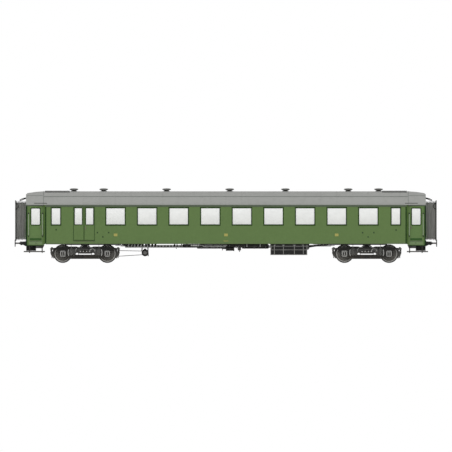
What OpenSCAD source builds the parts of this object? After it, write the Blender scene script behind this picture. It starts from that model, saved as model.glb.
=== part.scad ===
// Four-axle steel passenger coach with recessed end doors, double luggage doors,
// gangway bellows and two equaliser bogies. Millimetres, +Z up, X along the coach.
// The origin is on the ground under the middle of the coach, at the wheels' lowest point.

/* [Body] */
// Half length over the end walls
end_x = 11200; // [10800:50:11400]
// Half length of the full-width part of the body
main_x = 10120; // [10060:10:10150]
// Half width of the body
half_w = 1450; // [1400:10:1480]
// Half width at the recessed vestibules
rec_w = 1300; // [1280:5:1320]
// Thickness of a side, end or vestibule wall
wall_t = 60; // [50:5:60]
// Lower edge of the side panels
skirt_z = 1065; // [1060:5:1100]
// Lower edge of the vestibule panels
vest_z = 970; // [950:5:990]
// Top of the floor
floor_z = 1240; // [1235:5:1245]
// Height where the walls meet the roof
eaves_z = 3250; // [3240:5:3300]
// Rise of the roof above the eaves
roof_rise = 765; // [700:5:800]
// Thickness of the roof with its ceiling
roof_t = 55; // [40:5:60]

/* [Windows] */
// Width of a saloon window pane
win_w = 1057; // [900:1:1100]
// Width of a small end window pane
small_w = 500; // [400:10:540]
// Lower edge of the panes
win_z0 = 2148; // [2100:1:2200]
// Upper edge of the panes
win_z1 = 3077; // [3000:1:3085]
// Width of the window frame
win_f = 45; // [30:1:50]
// Centre of the first saloon window
win_x0 = -6190; // [-6200:5:-6180]
// Distance from one saloon window to the next
win_pitch = 1772.5; // [1770:0.5:1775]
// Centre of the small end windows, either end
small_x = 9530; // [9500:5:9560]

/* [Doors] */
// Centre of the entrance doors
door_x = 10673; // [10660:1:10690]
// Centre of the luggage doors
lug_x = -7958; // [-7980:1:-7940]
// Thickness of a door leaf
leaf_t = 45; // [38:1:48]

/* [Running gear] */
// Distance from the middle of the coach to a bogie pivot
pivot_x = 7900; // [7800:10:7900]
// Bogie wheelbase
wheelbase = 2500; // [2480:10:2520]
// Radius of the wheel over the flange
flange_r = 520; // [515:1:522]
// Radius of the wheel tread
tread_r = 492; // [486:1:494]

/* [Ends] */
// Height of the buffers' centre line
buffer_z = 1105; // [1090:5:1120]
// Half length over the buffers
buffer_x = 11850; // [11840:5:11860]
// Half width of the gangway bellows
bellows_w = 560; // [540:5:580]

/* [Hidden] */
$fn = 48;

axle_z = flange_r;
half_base = wheelbase / 2;
door_half = 353;
door_z0 = 1250;
sill_z = 1223;
door_z1 = 3150;
lug_half = 592;
lug_z0 = 1250;
lug_z1 = 3135;
beam_z = floor_z - 60;          // top of the underframe
sole_z = beam_z - 120;          // bottom of the underframe members
hinge_r = 6;                    // hinge pins
belt_r = 168;                   // inner radius of the belt round the axle
truss_y = 780;
pin_r = 60;                     // centre pin and axle journals
dyn_x = -4532;
dyn_z = 566;
saloon = [for (i = [0:8]) win_x0 + i * win_pitch];
bays = [for (i = [0:9]) win_x0 - win_pitch / 2 + i * win_pitch];
bulkheads = [-main_x + 20, -8900, bays[0] - 80, bays[9] + 80, main_x - 20];
vents = [-8520, -6850, -3326, 213, 3337, 6860, 8560];

green = [0.38, 0.47, 0.29];
dark_green = [0.2, 0.27, 0.16];
roof_grey = [0.61, 0.62, 0.61];
frame_black = [0.16, 0.16, 0.17];
steel = [0.4, 0.4, 0.42];
wood = [0.62, 0.45, 0.27];

// ---- helpers ----------------------------------------------------------------

// Roof section: a full superellipse arc of half width hw and height h, from the eaves up
function arc_pts(hw, h, z0, n = 36, e = 2.25) =
  [for (i = [0:n]) let (a = 180 * i / n, c = cos(a), s = sin(a))
    [hw * sign(c) * pow(abs(c), 2 / e), z0 + h * pow(abs(s), 2 / e)]];

// An extrusion along X from x0 to x1 of a shape drawn in Y and Z
module along_x(x0, x1) {
  translate([x0, 0, 0]) rotate([90, 0, 90]) linear_extrude(x1 - x0) children();
}
// An extrusion along Y from y0 to y1 of a shape drawn in X and Z
module along_y(y0, y1) {
  translate([0, y1, 0]) rotate([90, 0, 0]) linear_extrude(y1 - y0) children();
}
module box(lo, hi) { translate(lo) cube([hi[0] - lo[0], hi[1] - lo[1], hi[2] - lo[2]]); }
module both_y() { children(); mirror([0, 1, 0]) children(); }
module both_x() { children(); mirror([1, 0, 0]) children(); }
module rod_y(x, z, r, y0, y1) { translate([x, y0, z]) rotate([-90, 0, 0]) cylinder(r = r, h = y1 - y0); }
module rod_x(y, z, r, x0, x1) { translate([x0, y, z]) rotate([0, 90, 0]) cylinder(r = r, h = x1 - x0); }

// ---- body shell -------------------------------------------------------------

module window_holes(extra) {
  for (x = saloon) box([x - win_w / 2 - extra, half_w - 200, win_z0 - extra], [x + win_w / 2 + extra, half_w + 200, win_z1 + extra]);
  for (x = [-small_x, small_x]) box([x - small_w / 2 - extra, half_w - 200, win_z0 - extra], [x + small_w / 2 + extra, half_w + 200, win_z1 + extra]);
}

module side_wall() {
  difference() {
    box([-main_x, half_w - wall_t, skirt_z], [main_x, half_w, eaves_z]);
    window_holes(win_f);
    box([lug_x - lug_half, half_w - 200, lug_z0], [lug_x + lug_half, half_w + 200, lug_z1]);
  }
  for (d = [-1, 1]) translate([lug_x + d * lug_half, half_w - wall_t, 0]) mirror([d > 0 ? 1 : 0, 0, 0]) wall_lugs(lug_hinges);
}
module side_walls() { color(green) both_y() side_wall(); }

module vestibule_side() {
  difference() {
    translate([0, 0, vest_z]) linear_extrude(eaves_z - vest_z) polygon([
      [end_x, rec_w], [main_x + 100, rec_w], [main_x, half_w], [main_x, half_w - wall_t],
      [main_x + 60, rec_w - wall_t], [end_x, rec_w - wall_t]]);
    box([door_x - door_half, 900, sill_z], [door_x + door_half, 1600, door_z1 + 10]);
    // lower corner of the slanting return
    along_y(1200, 1500) polygon([[main_x - 5, vest_z - 10], [main_x - 5, skirt_z], [main_x + 4, skirt_z], [main_x + 150, vest_z + 12], [main_x + 190, vest_z - 10]]);
  }
  translate([door_x + door_half, rec_w - wall_t, 0]) mirror([1, 0, 0]) wall_lugs(door_hinges);
}
module vestibule_sides() { color(green) both_x() both_y() vestibule_side(); }

module end_wall() {
  difference() {
    along_x(end_x - wall_t, end_x) union() {
      translate([-(rec_w - wall_t), beam_z + 20]) square([2 * (rec_w - wall_t), eaves_z - beam_z - 30]);
      polygon(arc_pts(rec_w - wall_t - 9, roof_rise - roof_t - 170, eaves_z - 10.5));
    }
    box([end_x - 200, -350, floor_z], [end_x + 200, 350, 3215]);
  }
  // guide over the sliding door
  difference() {
    box([end_x - wall_t - 66, -400, 3190], [end_x - wall_t + 1, 1100, 3280]);
    box([end_x - wall_t - 61, -410, 3180], [end_x - wall_t - 9, 1110, 3250]);
    box([end_x - wall_t - 10, -351, 3180], [end_x - wall_t + 2, 351, 3215]);
  }
}
module end_walls() { color(green) for (a = [0, 180]) rotate([0, 0, a]) end_wall(); }

module slice(x, hw, h, z0) { translate([x, 0, 0]) rotate([90, 0, 90]) linear_extrude(2) polygon(arc_pts(hw, h, z0, 28)); }

module roof_solid(t, drop) {
  x1 = main_x + 124;
  along_x(-x1, x1) polygon(arc_pts(half_w - t, roof_rise - t, eaves_z - drop, 28));
  both_x() hull() {
    slice(x1 - 2, half_w - t, roof_rise - t, eaves_z - drop);
    slice(x1 + 420, half_w - 62 - t, roof_rise - 30 - t, eaves_z - drop);
    slice(end_x - 80, rec_w + 12 - t, roof_rise - 98 - t, eaves_z - drop);
    slice(end_x + (t > 0 ? 20 : 10), rec_w - 12 - t, roof_rise - 175 - t, eaves_z - drop);
  }
}
module roof() {
  color(roof_grey) difference() {
    roof_solid(0, 0);
    roof_solid(roof_t, 10);
  }
  // soffits over the recessed ends
  color(roof_grey) both_x() both_y() translate([0, 0, eaves_z]) linear_extrude(14) polygon([
    [main_x, rec_w - wall_t - 2], [main_x, half_w - 1], [main_x + 124, half_w - 1], [main_x + 544, half_w - 63],
    [end_x - 89, rec_w + 11], [end_x, rec_w - 10], [end_x, rec_w - wall_t - 2]]);
}

module cantrails() {
  color(dark_green) both_y() {
    box([-main_x, half_w, 3150], [main_x, half_w + 20, eaves_z]);
    both_x() box([main_x + 110, rec_w, 3180], [end_x, rec_w + 16, eaves_z]);
  }
}

// ---- roof fittings ----------------------------------------------------------

module vent() {
  top = eaves_z + roof_rise;
  translate([0, 0, top]) rotate_extrude() polygon([
    [0, 0], [132, 0], [125, 14], [112, 30], [112, 68], [200, 74], [236, 94], [250, 112],
    [240, 130], [205, 150], [120, 166], [0, 172]]);
}
module roof_vents() { color(frame_black) for (x = vents) translate([x, 0, 0]) vent(); }

module roof_walkways() {
  z = eaves_z + roof_rise;
  color(steel) both_x() {
    box([8760, -210, z + 14], [10150, 210, z + 34]);
    for (x = [8860, 9230, 9600, 10050]) box([x, -180, z], [x + 40, 180, z + 14]);
  }
}

// ---- windows ----------------------------------------------------------------

module window_ring(x, w) {
  difference() {
    box([x - w / 2 - win_f, half_w - 50, win_z0 - win_f], [x + w / 2 + win_f, half_w + 8, win_z1 + win_f]);
    box([x - w / 2, half_w - 200, win_z0], [x + w / 2, half_w + 200, win_z1]);
  }
}
module window_frames() {
  color(dark_green) both_y() {
    for (x = saloon) window_ring(x, win_w);
    for (x = [-small_x, small_x]) window_ring(x, small_w);
  }
}
module window_glass() {
  color([0.85, 0.87, 0.87, 0.5]) both_y() {
    for (x = saloon) box([x - win_w / 2, half_w - 32, win_z0], [x + win_w / 2, half_w - 24, win_z1]);
    for (x = [-small_x, small_x]) box([x - small_w / 2, half_w - 32, win_z0], [x + small_w / 2, half_w - 24, win_z1]);
  }
}

// ---- doors ------------------------------------------------------------------

// Hinges. Drawn with the jamb at x = 0, the opening on its +X side and the wall's inner face at y = 0.
module leaf_knuckles(zs) {
  for (z = zs) difference() {
    union() {
      translate([0, -14, z]) cylinder(r = 12, h = 80);
      translate([6, -7, z]) cube([74, 12, 80]);
    }
    translate([0, -14, z - 1]) cylinder(r = hinge_r + 0.05, h = 82);
  }
}
module wall_lugs(zs) {
  for (z = zs) {
    translate([0, -14, z - 25]) cylinder(r = hinge_r, h = 130);
    for (d = [-25, 85]) translate([0, 0, z + d]) {
      translate([0, -14, 0]) cylinder(r = 12, h = 20);
      translate([-12, -14, 0]) cube([12, 14.5, 20]);
    }
  }
}
door_hinges = [1420, 2130, 2960];
lug_hinges = [1420, 2160, 2960];

// Entrance door leaf at the front left. It turns inwards on its edge next to the coach end.
module entrance_leaf() {
  difference() {
    box([door_x - door_half + 11, rec_w - 10 - leaf_t, door_z0], [door_x + door_half - 6, rec_w - 10, door_z1]);
    box([door_x - 250, rec_w - 200, win_z0 - 14], [door_x + 250, rec_w + 200, win_z1 - 16]);
  }
  translate([door_x + door_half, rec_w - wall_t, 0]) mirror([1, 0, 0]) leaf_knuckles(door_hinges);
}
module entrance_glass() { box([door_x - 250, rec_w - 38, win_z0 - 14], [door_x + 250, rec_w - 30, win_z1 - 16]); }
// side: 1 left, -1 right; end: 1 front, -1 rear
module at_corner(end, side) { mirror([end < 0 ? 1 : 0, 0, 0]) mirror([0, side < 0 ? 1 : 0, 0]) children(); }

module luggage_leaf(d) {
  difference() {
    box([lug_x + (d > 0 ? 8 : -lug_half + 6), half_w - 10 - leaf_t, lug_z0 + 6],
        [lug_x + (d > 0 ? lug_half - 6 : -8), half_w - 10, lug_z1 - 6]);
    box([lug_x + d * 316 - 211, half_w - 200, win_z0], [lug_x + d * 316 + 211, half_w + 200, win_z1]);
  }
  translate([lug_x + d * lug_half, half_w - wall_t, 0]) mirror([d > 0 ? 1 : 0, 0, 0]) leaf_knuckles(lug_hinges);
}
module luggage_glass(d) { box([lug_x + d * 316 - 211, half_w - 38, win_z0], [lug_x + d * 316 + 211, half_w - 30, win_z1]); }

// Sliding door across the gangway at the front end. It slides towards the left side.
module gangway_door() {
  color(green) box([end_x - wall_t - 55, -385, floor_z + 10], [end_x - wall_t - 15, 385, 3240]);
}

// ---- inside -----------------------------------------------------------------

module bulkhead(x) {
  difference() {
    along_x(x - 20, x + 20) union() {
      translate([-(half_w - wall_t), floor_z]) square([2 * (half_w - wall_t), eaves_z - floor_z - 14]);
      polygon(arc_pts(half_w - roof_t - 12, roof_rise - roof_t - 12, eaves_z - 18));
    }
    box([x - 100, -350, floor_z - 1], [x + 100, 350, floor_z + 1960]);
  }
}
module partitions() { color(wood) for (x = bulkheads) bulkhead(x); }

module floor_slab() {
  color([0.45, 0.3, 0.25]) translate([0, 0, beam_z]) linear_extrude(60) polygon([
    [-end_x + wall_t, -rec_w + wall_t], [-main_x - 60, -rec_w + wall_t], [-main_x, -half_w + wall_t],
    [main_x, -half_w + wall_t], [main_x + 60, -rec_w + wall_t], [end_x - wall_t, -rec_w + wall_t],
    [end_x - wall_t, rec_w - wall_t], [main_x + 60, rec_w - wall_t], [main_x, half_w - wall_t],
    [-main_x, half_w - wall_t], [-main_x - 60, rec_w - wall_t], [-end_x + wall_t, rec_w - wall_t]]);
}

// One bench facing +X, its back against x = 0
module bench_profile() {
  polygon([[0, 380], [0, 1190], [30, 1190], [62, 700], [90, 470], [95, 440], [470, 455], [500, 440],
    [500, 410], [430, 392], [430, 0], [385, 0], [385, 385], [45, 385], [45, 0], [0, 0]]);
}
module bench(x, d) { translate([x, 0, floor_z]) mirror([d < 0 ? 1 : 0, 0, 0]) along_y(335, half_w - wall_t - 8) bench_profile(); }
module benches() {
  color(wood) both_y() for (i = [0:9]) {
    if (i < 9) bench(bays[i] + (i == 0 ? -52 : 8), 1);
    if (i > 0) bench(bays[i] - (i == 9 ? -52 : 8), -1);
  }
}

module luggage_racks() {
  color(steel) both_y() for (i = [0:8]) {
    box([saloon[i] - 780, 1085, 3160], [saloon[i] + 780, half_w - wall_t, 3180]);
    for (d = [-700, 0, 700]) box([saloon[i] + d - 10, 1120, 3140], [saloon[i] + d + 10, half_w - wall_t, 3160]);
  }
}

// ---- underframe and what hangs from it ---------------------------------------

// Fish-belly truss beams, one on each side of the middle
module truss_beams() {
  color(frame_black) both_y() {
    difference() {
      union() {
        box([-5650, truss_y, 858], [4660, truss_y + 45, 1000]);
        along_y(truss_y, truss_y + 45) polygon([[4659, 858], [4659, 1000], [4700, 1000], [5500, sole_z], [5850, sole_z],
          [5850, 1015], [5300, 950]]);
        along_y(truss_y, truss_y + 45) polygon([[-5649, 1000], [-5649, 960], [-5850, 1030], [-5850, sole_z], [-5500, sole_z], [-5500, 999]]);
      }
      box([2345, truss_y - 5, 932], [2470, truss_y + 50, 1001]);
      // recesses along the outer face
      for (i = [0:57]) box([-5600 + i * 177, truss_y + 25, 915], [-5510 + i * 177, truss_y + 60, 985]);
      for (i = [0:57]) box([-5600 + i * 177, truss_y - 15, 915], [-5510 + i * 177, truss_y + 20, 985]);
    }
    for (i = [0:3]) box([-5650 + i * 177, truss_y, 990], [-5610 + i * 177, truss_y + 45, sole_z]);
    for (x = [-4120, -2860, -2740, -2480, -1700, -886, 0, 886, 1772, 2300, 3540, 4430]) box([x - 25, truss_y, 990], [x + 25, truss_y + 45, sole_z]);
    // drain pipe
  }
  color(frame_black) translate([-2780, -(truss_y + 22), 790]) cylinder(r = 20, h = 80);
}

// The flat ladder of sole bars, longitudinals and cross members
module underframe() {
  color(frame_black) {
    both_y() {
      box([-main_x, 1290, sole_z], [main_x, half_w - wall_t, beam_z]);
      box([-end_x + 160, 150, sole_z], [end_x - 160, 230, beam_z]);
      box([-5860, truss_y, sole_z], [5860, truss_y + 45, beam_z]);
      box([-2700, 920, sole_z], [2700, 1000, sole_z + 60]);
      box([-1450, 1095, 985], [2340, 1155, sole_z + 60]);
      both_x() box([main_x - 100, rec_w - wall_t - 90, sole_z], [end_x - 160, rec_w - wall_t, beam_z]);
    }
    for (i = [-11:11]) if (abs(i) != 9) box([i * 886 - 30, -1295, sole_z], [i * 886 + 30, 1295, beam_z]);
    both_x() box([end_x - 600, -1155, sole_z], [end_x - 540, 1155, beam_z]);
  }
}
// Body bolster with its side bearers, centre bearing and centre pin
module body_bolsters() {
  color(frame_black) both_x() {
    box([pivot_x - 210, -1290, 1000], [pivot_x + 210, 1290, sole_z]);
    translate([pivot_x, 0, 952]) cylinder(r = 225, h = 60);
    translate([pivot_x, 0, 770]) cylinder(r = pin_r, h = 190);
    both_y() box([pivot_x - 120, 640, 930], [pivot_x + 120, 900, 1005]);
  }
}
// Headstock across the end, with the drag box of the draw gear under it
module headstocks() {
  color(frame_black) both_x() difference() {
    union() {
      box([end_x - 160, -(rec_w - wall_t), 930], [end_x, rec_w - wall_t, beam_z]);
      box([end_x - wall_t, -(rec_w - wall_t), beam_z - 1], [end_x, rec_w - wall_t, beam_z + 20]);
      box([end_x - 555, -560, 680], [end_x, 560, 940]);
      both_y() box([end_x - 555, 530, 900], [end_x, 560, sole_z]);
    }
    both_y() box([end_x - 500, 60, 600], [end_x - 40, 500, 905]);
  }
}

module battery_box() {
  box([2496, 835, 443], [4560, 1370, 742]);
  box([2540, 865, 742], [4640, 1325, 1050]);
  box([2600, 865, 1049], [2700, 1325, sole_z]);
  box([4380, 865, 1049], [4480, 1325, sole_z]);
  for (x = [2496, 2700, 3215, 3830, 4330, 4500]) box([x, 1320, 742], [x + 50, 1370, sole_z]);
  box([2496, 1320, 1030], [4640, 1370, sole_z]);
  box([4600, 1320, 800], [4680, 1370, sole_z]);
}
module battery_boxes() { color(frame_black) both_y() battery_box(); }

module dynamo() {
  color(frame_black) {
    rod_y(dyn_x, dyn_z, 190, -590, -90);
    rod_y(dyn_x, dyn_z, 150, -620, -60);
    rod_y(dyn_x, dyn_z, 80, -60, 60);
    rod_y(dyn_x, dyn_z, 110, 56, 68);
    rod_y(dyn_x, dyn_z, 110, -68, -56);
    for (y = [-520, -200]) along_y(y, y + 40) {
      polygon([[dyn_x - 190, dyn_z + 60], [dyn_x - 150, dyn_z + 120], [dyn_x - 110, sole_z], [dyn_x - 170, sole_z], [dyn_x - 215, dyn_z + 120]]);
      polygon([[dyn_x + 120, dyn_z - 60], [dyn_x + 160, dyn_z - 200], [dyn_x + 200, dyn_z - 180], [dyn_x + 190, dyn_z + 160], [dyn_x + 210, sole_z], [dyn_x + 130, sole_z], [dyn_x + 130, dyn_z + 120]]);
      polygon([[dyn_x - 190, dyn_z + 60], [dyn_x + 150, dyn_z + 60], [dyn_x + 150, dyn_z - 60], [dyn_x - 190, dyn_z - 40]]);
    }
  }
}

module dynamo_belt() {
  ax = -pivot_x + half_base;
  color([0.25, 0.2, 0.15]) along_y(-50, 50) difference() {
    hull() { translate([ax, axle_z]) circle(r = belt_r + 22, $fn = 64); translate([dyn_x, dyn_z]) circle(r = 102, $fn = 64); }
    hull() { translate([ax, axle_z]) circle(r = belt_r, $fn = 64); translate([dyn_x, dyn_z]) circle(r = 80.3, $fn = 64); }
  }
}

module air_brake_equipment() {
  color(frame_black) {
    // long reservoir, with its two straps
    rod_x(-960, 962, 92, -2400, -240);
    for (x = [-2200, -500]) box([x, -1000, 900], [x + 60, -920, sole_z]);
    // brake cylinder with its rod and lever
    rod_x(-960, 800, 118, 0, 450);
    rod_x(-960, 800, 136, 430, 470);
    rod_x(-960, 800, 26, -190, 10);
    box([-215, -975, 700], [-175, -945, sole_z]);
    box([40, -1010, 900], [100, -910, sole_z]);
    box([340, -1010, 900], [400, -910, sole_z]);
    // distributor
    translate([760, -960, 700]) cylinder(r = 85, h = 150);
    translate([760, -960, 620]) cylinder(r = 22, h = 90);
    box([735, -990, 840], [785, -930, sole_z]);
    // main reservoir
    rod_x(-960, 926, 126, 920, 2380);
    for (x = [1000, 2200]) box([x, -1000, 900], [x + 60, -920, sole_z]);
    // second reservoir on the left side
    rod_x(960, 926, 126, -1600, 300);
    for (x = [-1400, 100]) box([x, 920, 900], [x + 60, 1000, sole_z]);
  }
}

// ---- ends -------------------------------------------------------------------

module door_step() {
  y = rec_w - wall_t;
  box([door_x - 523, y, 606], [door_x + 667, y + 200, 664]);
  for (x = [door_x - 400, door_x + 304]) {
    box([x, y - 22, 560], [x + 62, y, 1060]);
    box([x, y - 22, 584], [x + 62, y + 190, 606]);
  }
}
module door_steps() { color(steel) both_x() both_y() door_step(); }

module buffer() {
  translate([end_x, 875, buffer_z]) rotate([0, 90, 0]) rotate_extrude() polygon([
    [0, 0], [165, 0], [165, 26], [100, 34], [92, 330], [60, 336], [60, 380], [42, 384], [42, 600],
    [120, 592], [200, 604], [205, 612], [205, 636], [198, 643], [120, 648], [92, buffer_x - end_x], [0, buffer_x - end_x]]);
}
module buffers() {
  color(steel) both_x() both_y() {
    buffer();
    along_y(862, 888) polygon([[end_x, 935], [end_x + 50, 945], [end_x + 120, 985], [end_x + 180, 1020], [end_x + 180, 1060], [end_x, 1060]]);
  }
}

module draw_hook() {
  along_y(-24, 24) difference() {
    polygon([[end_x, buffer_z - 40], [end_x, buffer_z + 40], [end_x + 150, buffer_z + 44], [end_x + 205, buffer_z + 92],
      [end_x + 268, buffer_z + 96], [end_x + 262, buffer_z + 62], [end_x + 228, buffer_z + 50], [end_x + 226, buffer_z + 22],
      [end_x + 262, buffer_z + 6], [end_x + 300, buffer_z + 30], [end_x + 330, buffer_z + 8], [end_x + 316, buffer_z - 46],
      [end_x + 262, buffer_z - 74], [end_x + 200, buffer_z - 66], [end_x + 120, buffer_z - 42]]);
    translate([end_x + 110, buffer_z]) circle(r = 24);
  }
  translate([end_x, 0, buffer_z]) rotate([0, 90, 0]) difference() {
    cylinder(r = 110, h = 26);
    translate([-60, -24, -5]) cube([120, 48, 60]);
  }
}
module draw_hooks() { color(steel) both_x() draw_hook(); }

// A rounded rectangle with plain corners cut at 45 degrees, in Y and Z
module portal(w, z0, z1, c) {
  polygon([[-w, z0], [w, z0], [w, z1 - c], [w - c, z1], [-w + c, z1], [-w, z1 - c]]);
}
module gangway_bellows() {
  color([0.4, 0.4, 0.39]) both_x() along_x(end_x, 11760) difference() {
    portal(bellows_w, 1272, 3455, 90);
    portal(bellows_w - 110, 1326, 3345, 60);
  }
}
module gangway_frames() {
  color(steel) both_x() {
    along_x(11760, 11822) difference() {
      portal(bellows_w + 30, 1235, 3512, 100);
      portal(bellows_w - 120, 1330, 3330, 60);
    }
    box([end_x, -330, 1330], [11770, 330, 1338]);
  }
}

module grab_rails() {
  color(steel) both_x() both_y() for (x = [door_x - 386, door_x + 394]) {
    translate([x, rec_w + 55, 1490]) cylinder(r = 17, h = 1310);
    for (z = [1514, 2776]) {
      translate([x, rec_w, z]) rotate([-90, 0, 0]) cylinder(r = 13, h = 50);
      translate([x, rec_w, z]) rotate([-90, 0, 0]) cylinder(r = 30, h = 8);
    }
  }
}

// ---- bogie, drawn about its pivot ---------------------------------------------

module bogie_side_outline() {
  difference() {
    polygon(concat(
      [for (p = side_half) p],
      [for (i = [len(side_half) - 1:-1:0]) [-side_half[i][0], side_half[i][1]]]));
    polygon([[950, 740], [890, 813], [-890, 813], [-950, 740], [-950, 440], [-900, 398], [-620, 398], [-560, 465],
      [560, 465], [620, 398], [900, 398], [950, 440]]);
  }
}
side_half = [[0, 886], [1480, 886], [1640, 856], [1960, 812], [1970, 770], [1950, 748], [1720, 770], [1560, 735],
  [1480, 650], [1462, 400], [1440, 362], [1408, 362], [1408, 690], [1092, 690], [1092, 362], [1055, 330],
  [960, 262], [900, 252], [0, 252]];

module bogie_web_outline() {
  difference() {
    polygon(concat([for (p = side_half) p], [for (i = [len(side_half) - 1:-1:0]) [-side_half[i][0], side_half[i][1]]]));
    translate([-345, 455]) square([690, 62]);
    for (x = [-448, 448]) translate([x, 486]) circle(r = 72);
    translate([-186, 708]) square([372, 104]);
  }
}
module bogie_frame() {
  color(frame_black) {
    both_y() along_y(970, 1055) bogie_side_outline();
    both_y() along_y(945, 971) bogie_web_outline();
    both_x() box([430, -946, 690], [520, 946, 860]);
    both_x() box([700, -946, 810], [760, 946, 880]);
    // bosses at the ends of the arms, for the brake hangers
    both_x() both_y() rod_y(1890, 790, 56, 940, 1075);
    // pedestal liners beside the axle boxes
    both_x() both_y() {
      box([1066, 1050, 372], [1092, 1068, 700]);
      box([1408, 1050, 372], [1434, 1068, 700]);
    }
  }
}
module bogie_bolster() {
  color(frame_black) {
    difference() {
      union() {
        box([-170, -1060, 720], [170, 1060, 800]);
        box([-200, -760, 690], [200, 760, 900]);
        translate([0, 0, 895]) cylinder(r = 285, h = 50);
        both_y() box([-120, 640, 890], [120, 900, 924]);
      }
      translate([0, 0, 600]) cylinder(r = pin_r + 0.08, h = 500);
    }
  }
}
function leaf_pts(w, z0, t, sag, n = 10) = concat(
  [for (i = [0:n]) let (u = -1 + 2 * i / n) [w * u, z0 + sag * u * u]],
  [for (i = [n:-1:0]) let (u = -1 + 2 * i / n) [w * u, z0 + t + sag * u * u]]);
module bogie_springs() {
  color(frame_black) {
    both_y() {
      for (k = [0:4]) along_y(972, 1050) polygon(leaf_pts(520 - 70 * k, 620 - 15 * k, 15.2, 16));
      box([-60, 972, 545], [60, 1058, 720]);
      both_x() rod_y(520, 642, 27, 972, 1060);
      both_x() box([505, 990, 640], [535, 1030, 813]);
      both_x() for (x = [722, 830]) translate([x, 1022, 0]) {
        translate([0, 0, 418]) cylinder(r = 48, h = 395);
        translate([0, 0, 398]) cylinder(r = 50, h = 20.5);
      }
    }
  }
}
module axle_boxes() {
  color([0.3, 0.3, 0.3]) both_x() both_y() translate([half_base, 0, axle_z]) difference() {
    union() {
      box([-152, 905, -160], [152, 1105, 170]);
      translate([0, 1100, 0]) rotate([-90, 0, 0]) cylinder(r = 120, h = 32);
      box([-110, 1100, -130], [110, 1118, 130]);
    }
    translate([0, 890, 0]) rotate([-90, 0, 0]) cylinder(r = pin_r + 0.08, h = 202);
  }
}
module brake_end() {
  // cross tubes, hangers and blocks outside one wheelset
  rod_y(1890, 790, 20, -940, 940);
  rod_y(1850, 300, 24, -800, 800);
  both_y() {
        along_y(745, 790) polygon([[1852, 812], [1928, 812], [1922, 742], [1902, 702], [1906, 656], [1942, 622], [1946, 560], [1928, 500], [1902, 432], [1880, 380], [1874, 285], [1826, 285], [1806, 420], [1806, 520], [1826, 640], [1850, 740]]);
    translate([half_base, 0, axle_z]) rotate([-90, 0, 0]) translate([0, 0, 732]) rotate([0, 0, -28])
      rotate_extrude(angle = 56) polygon([[tread_r + 12, 0], [tread_r + 94, 0], [tread_r + 94, 76], [tread_r + 12, 76]]);
  }
}
module brake_gear() { color(frame_black) both_x() brake_end(); }

// ---- wheelset, drawn about its own axle at y = 0 -------------------------------

wheel_half = [[78, 655], [132, 655], [142, 712], [155, 733], [404, 722], [426, 702], [430, 682], [436, 680],
  [flange_r - 12, 680], [flange_r - 3, 685], [flange_r, 694], [flange_r - 3, 704], [tread_r + 8, 717], [tread_r + 2, 724],
  [tread_r - 4, 811], [tread_r - 8, 815], [436, 815], [428, 811], [412, 764], [398, 754], [160, 764], [146, 776],
  [138, 846], [132, 850], [96, 850], [92, 868], [72, 884], [60, 888], [60, 1086], [0, 1090]];
module wheelset(pulley = false) {
  start = pulley ? [[156, 0], [156, 158], [140, 162], [78, 164]] : [[78, 0]];
  pts = concat(start, wheel_half);
  translate([0, 0, axle_z]) rotate([-90, 0, 0]) color(steel) rotate_extrude($fn = 72) polygon(concat(
    [for (i = [len(pts) - 1:-1:0]) [pts[i][0], -pts[i][1]]],
    [for (i = [pulley ? 1 : 1:len(pts) - 1]) pts[i]]));
}

module at_bogie(end) { translate([end * pivot_x, 0, 0]) children(); }

// ---- nodes --------------------------------------------------------------------

underframe();
body_bolsters();
headstocks();
truss_beams();
floor_slab();  // floor
side_walls();
vestibule_sides();
end_walls();
roof();
cantrails();
roof_vents();
roof_walkways();
window_frames();
window_glass();
partitions();
benches();
luggage_racks();
battery_boxes();
dynamo();
dynamo_belt();
air_brake_equipment();
door_steps();
buffers();
draw_hooks();
gangway_bellows();
gangway_frames();
grab_rails();
color(green) at_corner(1, 1) entrance_leaf();  // front_left_door
color("white") at_corner(1, 1) entrance_glass();  // front_left_door_glass
color(green) at_corner(1, -1) entrance_leaf();  // front_right_door
color("white") at_corner(1, -1) entrance_glass();  // front_right_door_glass
color(green) at_corner(-1, 1) entrance_leaf();  // rear_left_door
color("white") at_corner(-1, 1) entrance_glass();  // rear_left_door_glass
color(green) at_corner(-1, -1) entrance_leaf();  // rear_right_door
color("white") at_corner(-1, -1) entrance_glass();  // rear_right_door_glass
color(green) at_corner(1, 1) luggage_leaf(1);  // left_luggage_door_front
color("white") at_corner(1, 1) luggage_glass(1);  // left_luggage_glass_front
color(green) at_corner(1, 1) luggage_leaf(-1);  // left_luggage_door_rear
color("white") at_corner(1, 1) luggage_glass(-1);  // left_luggage_glass_rear
color(green) at_corner(1, -1) luggage_leaf(1);  // right_luggage_door_front
color("white") at_corner(1, -1) luggage_glass(1);  // right_luggage_glass_front
color(green) at_corner(1, -1) luggage_leaf(-1);  // right_luggage_door_rear
color("white") at_corner(1, -1) luggage_glass(-1);  // right_luggage_glass_rear
gangway_door();  // front_gangway_door
rotate([0, 0, 180]) gangway_door();  // rear_gangway_door
at_bogie(1) bogie_frame();  // front_bogie_frame
at_bogie(1) bogie_bolster();  // front_bogie_bolster
at_bogie(1) bogie_springs();  // front_bogie_springs
at_bogie(1) axle_boxes();  // front_axle_boxes
at_bogie(1) brake_gear();  // front_brake_gear
at_bogie(-1) bogie_frame();  // rear_bogie_frame
at_bogie(-1) bogie_bolster();  // rear_bogie_bolster
at_bogie(-1) bogie_springs();  // rear_bogie_springs
at_bogie(-1) axle_boxes();  // rear_axle_boxes
at_bogie(-1) brake_gear();  // rear_brake_gear
translate([pivot_x + half_base, 0, 0]) wheelset();  // front_outer_wheelset
translate([pivot_x - half_base, 0, 0]) wheelset();  // front_inner_wheelset
translate([-pivot_x + half_base, 0, 0]) wheelset(true);  // rear_inner_wheelset
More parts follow.
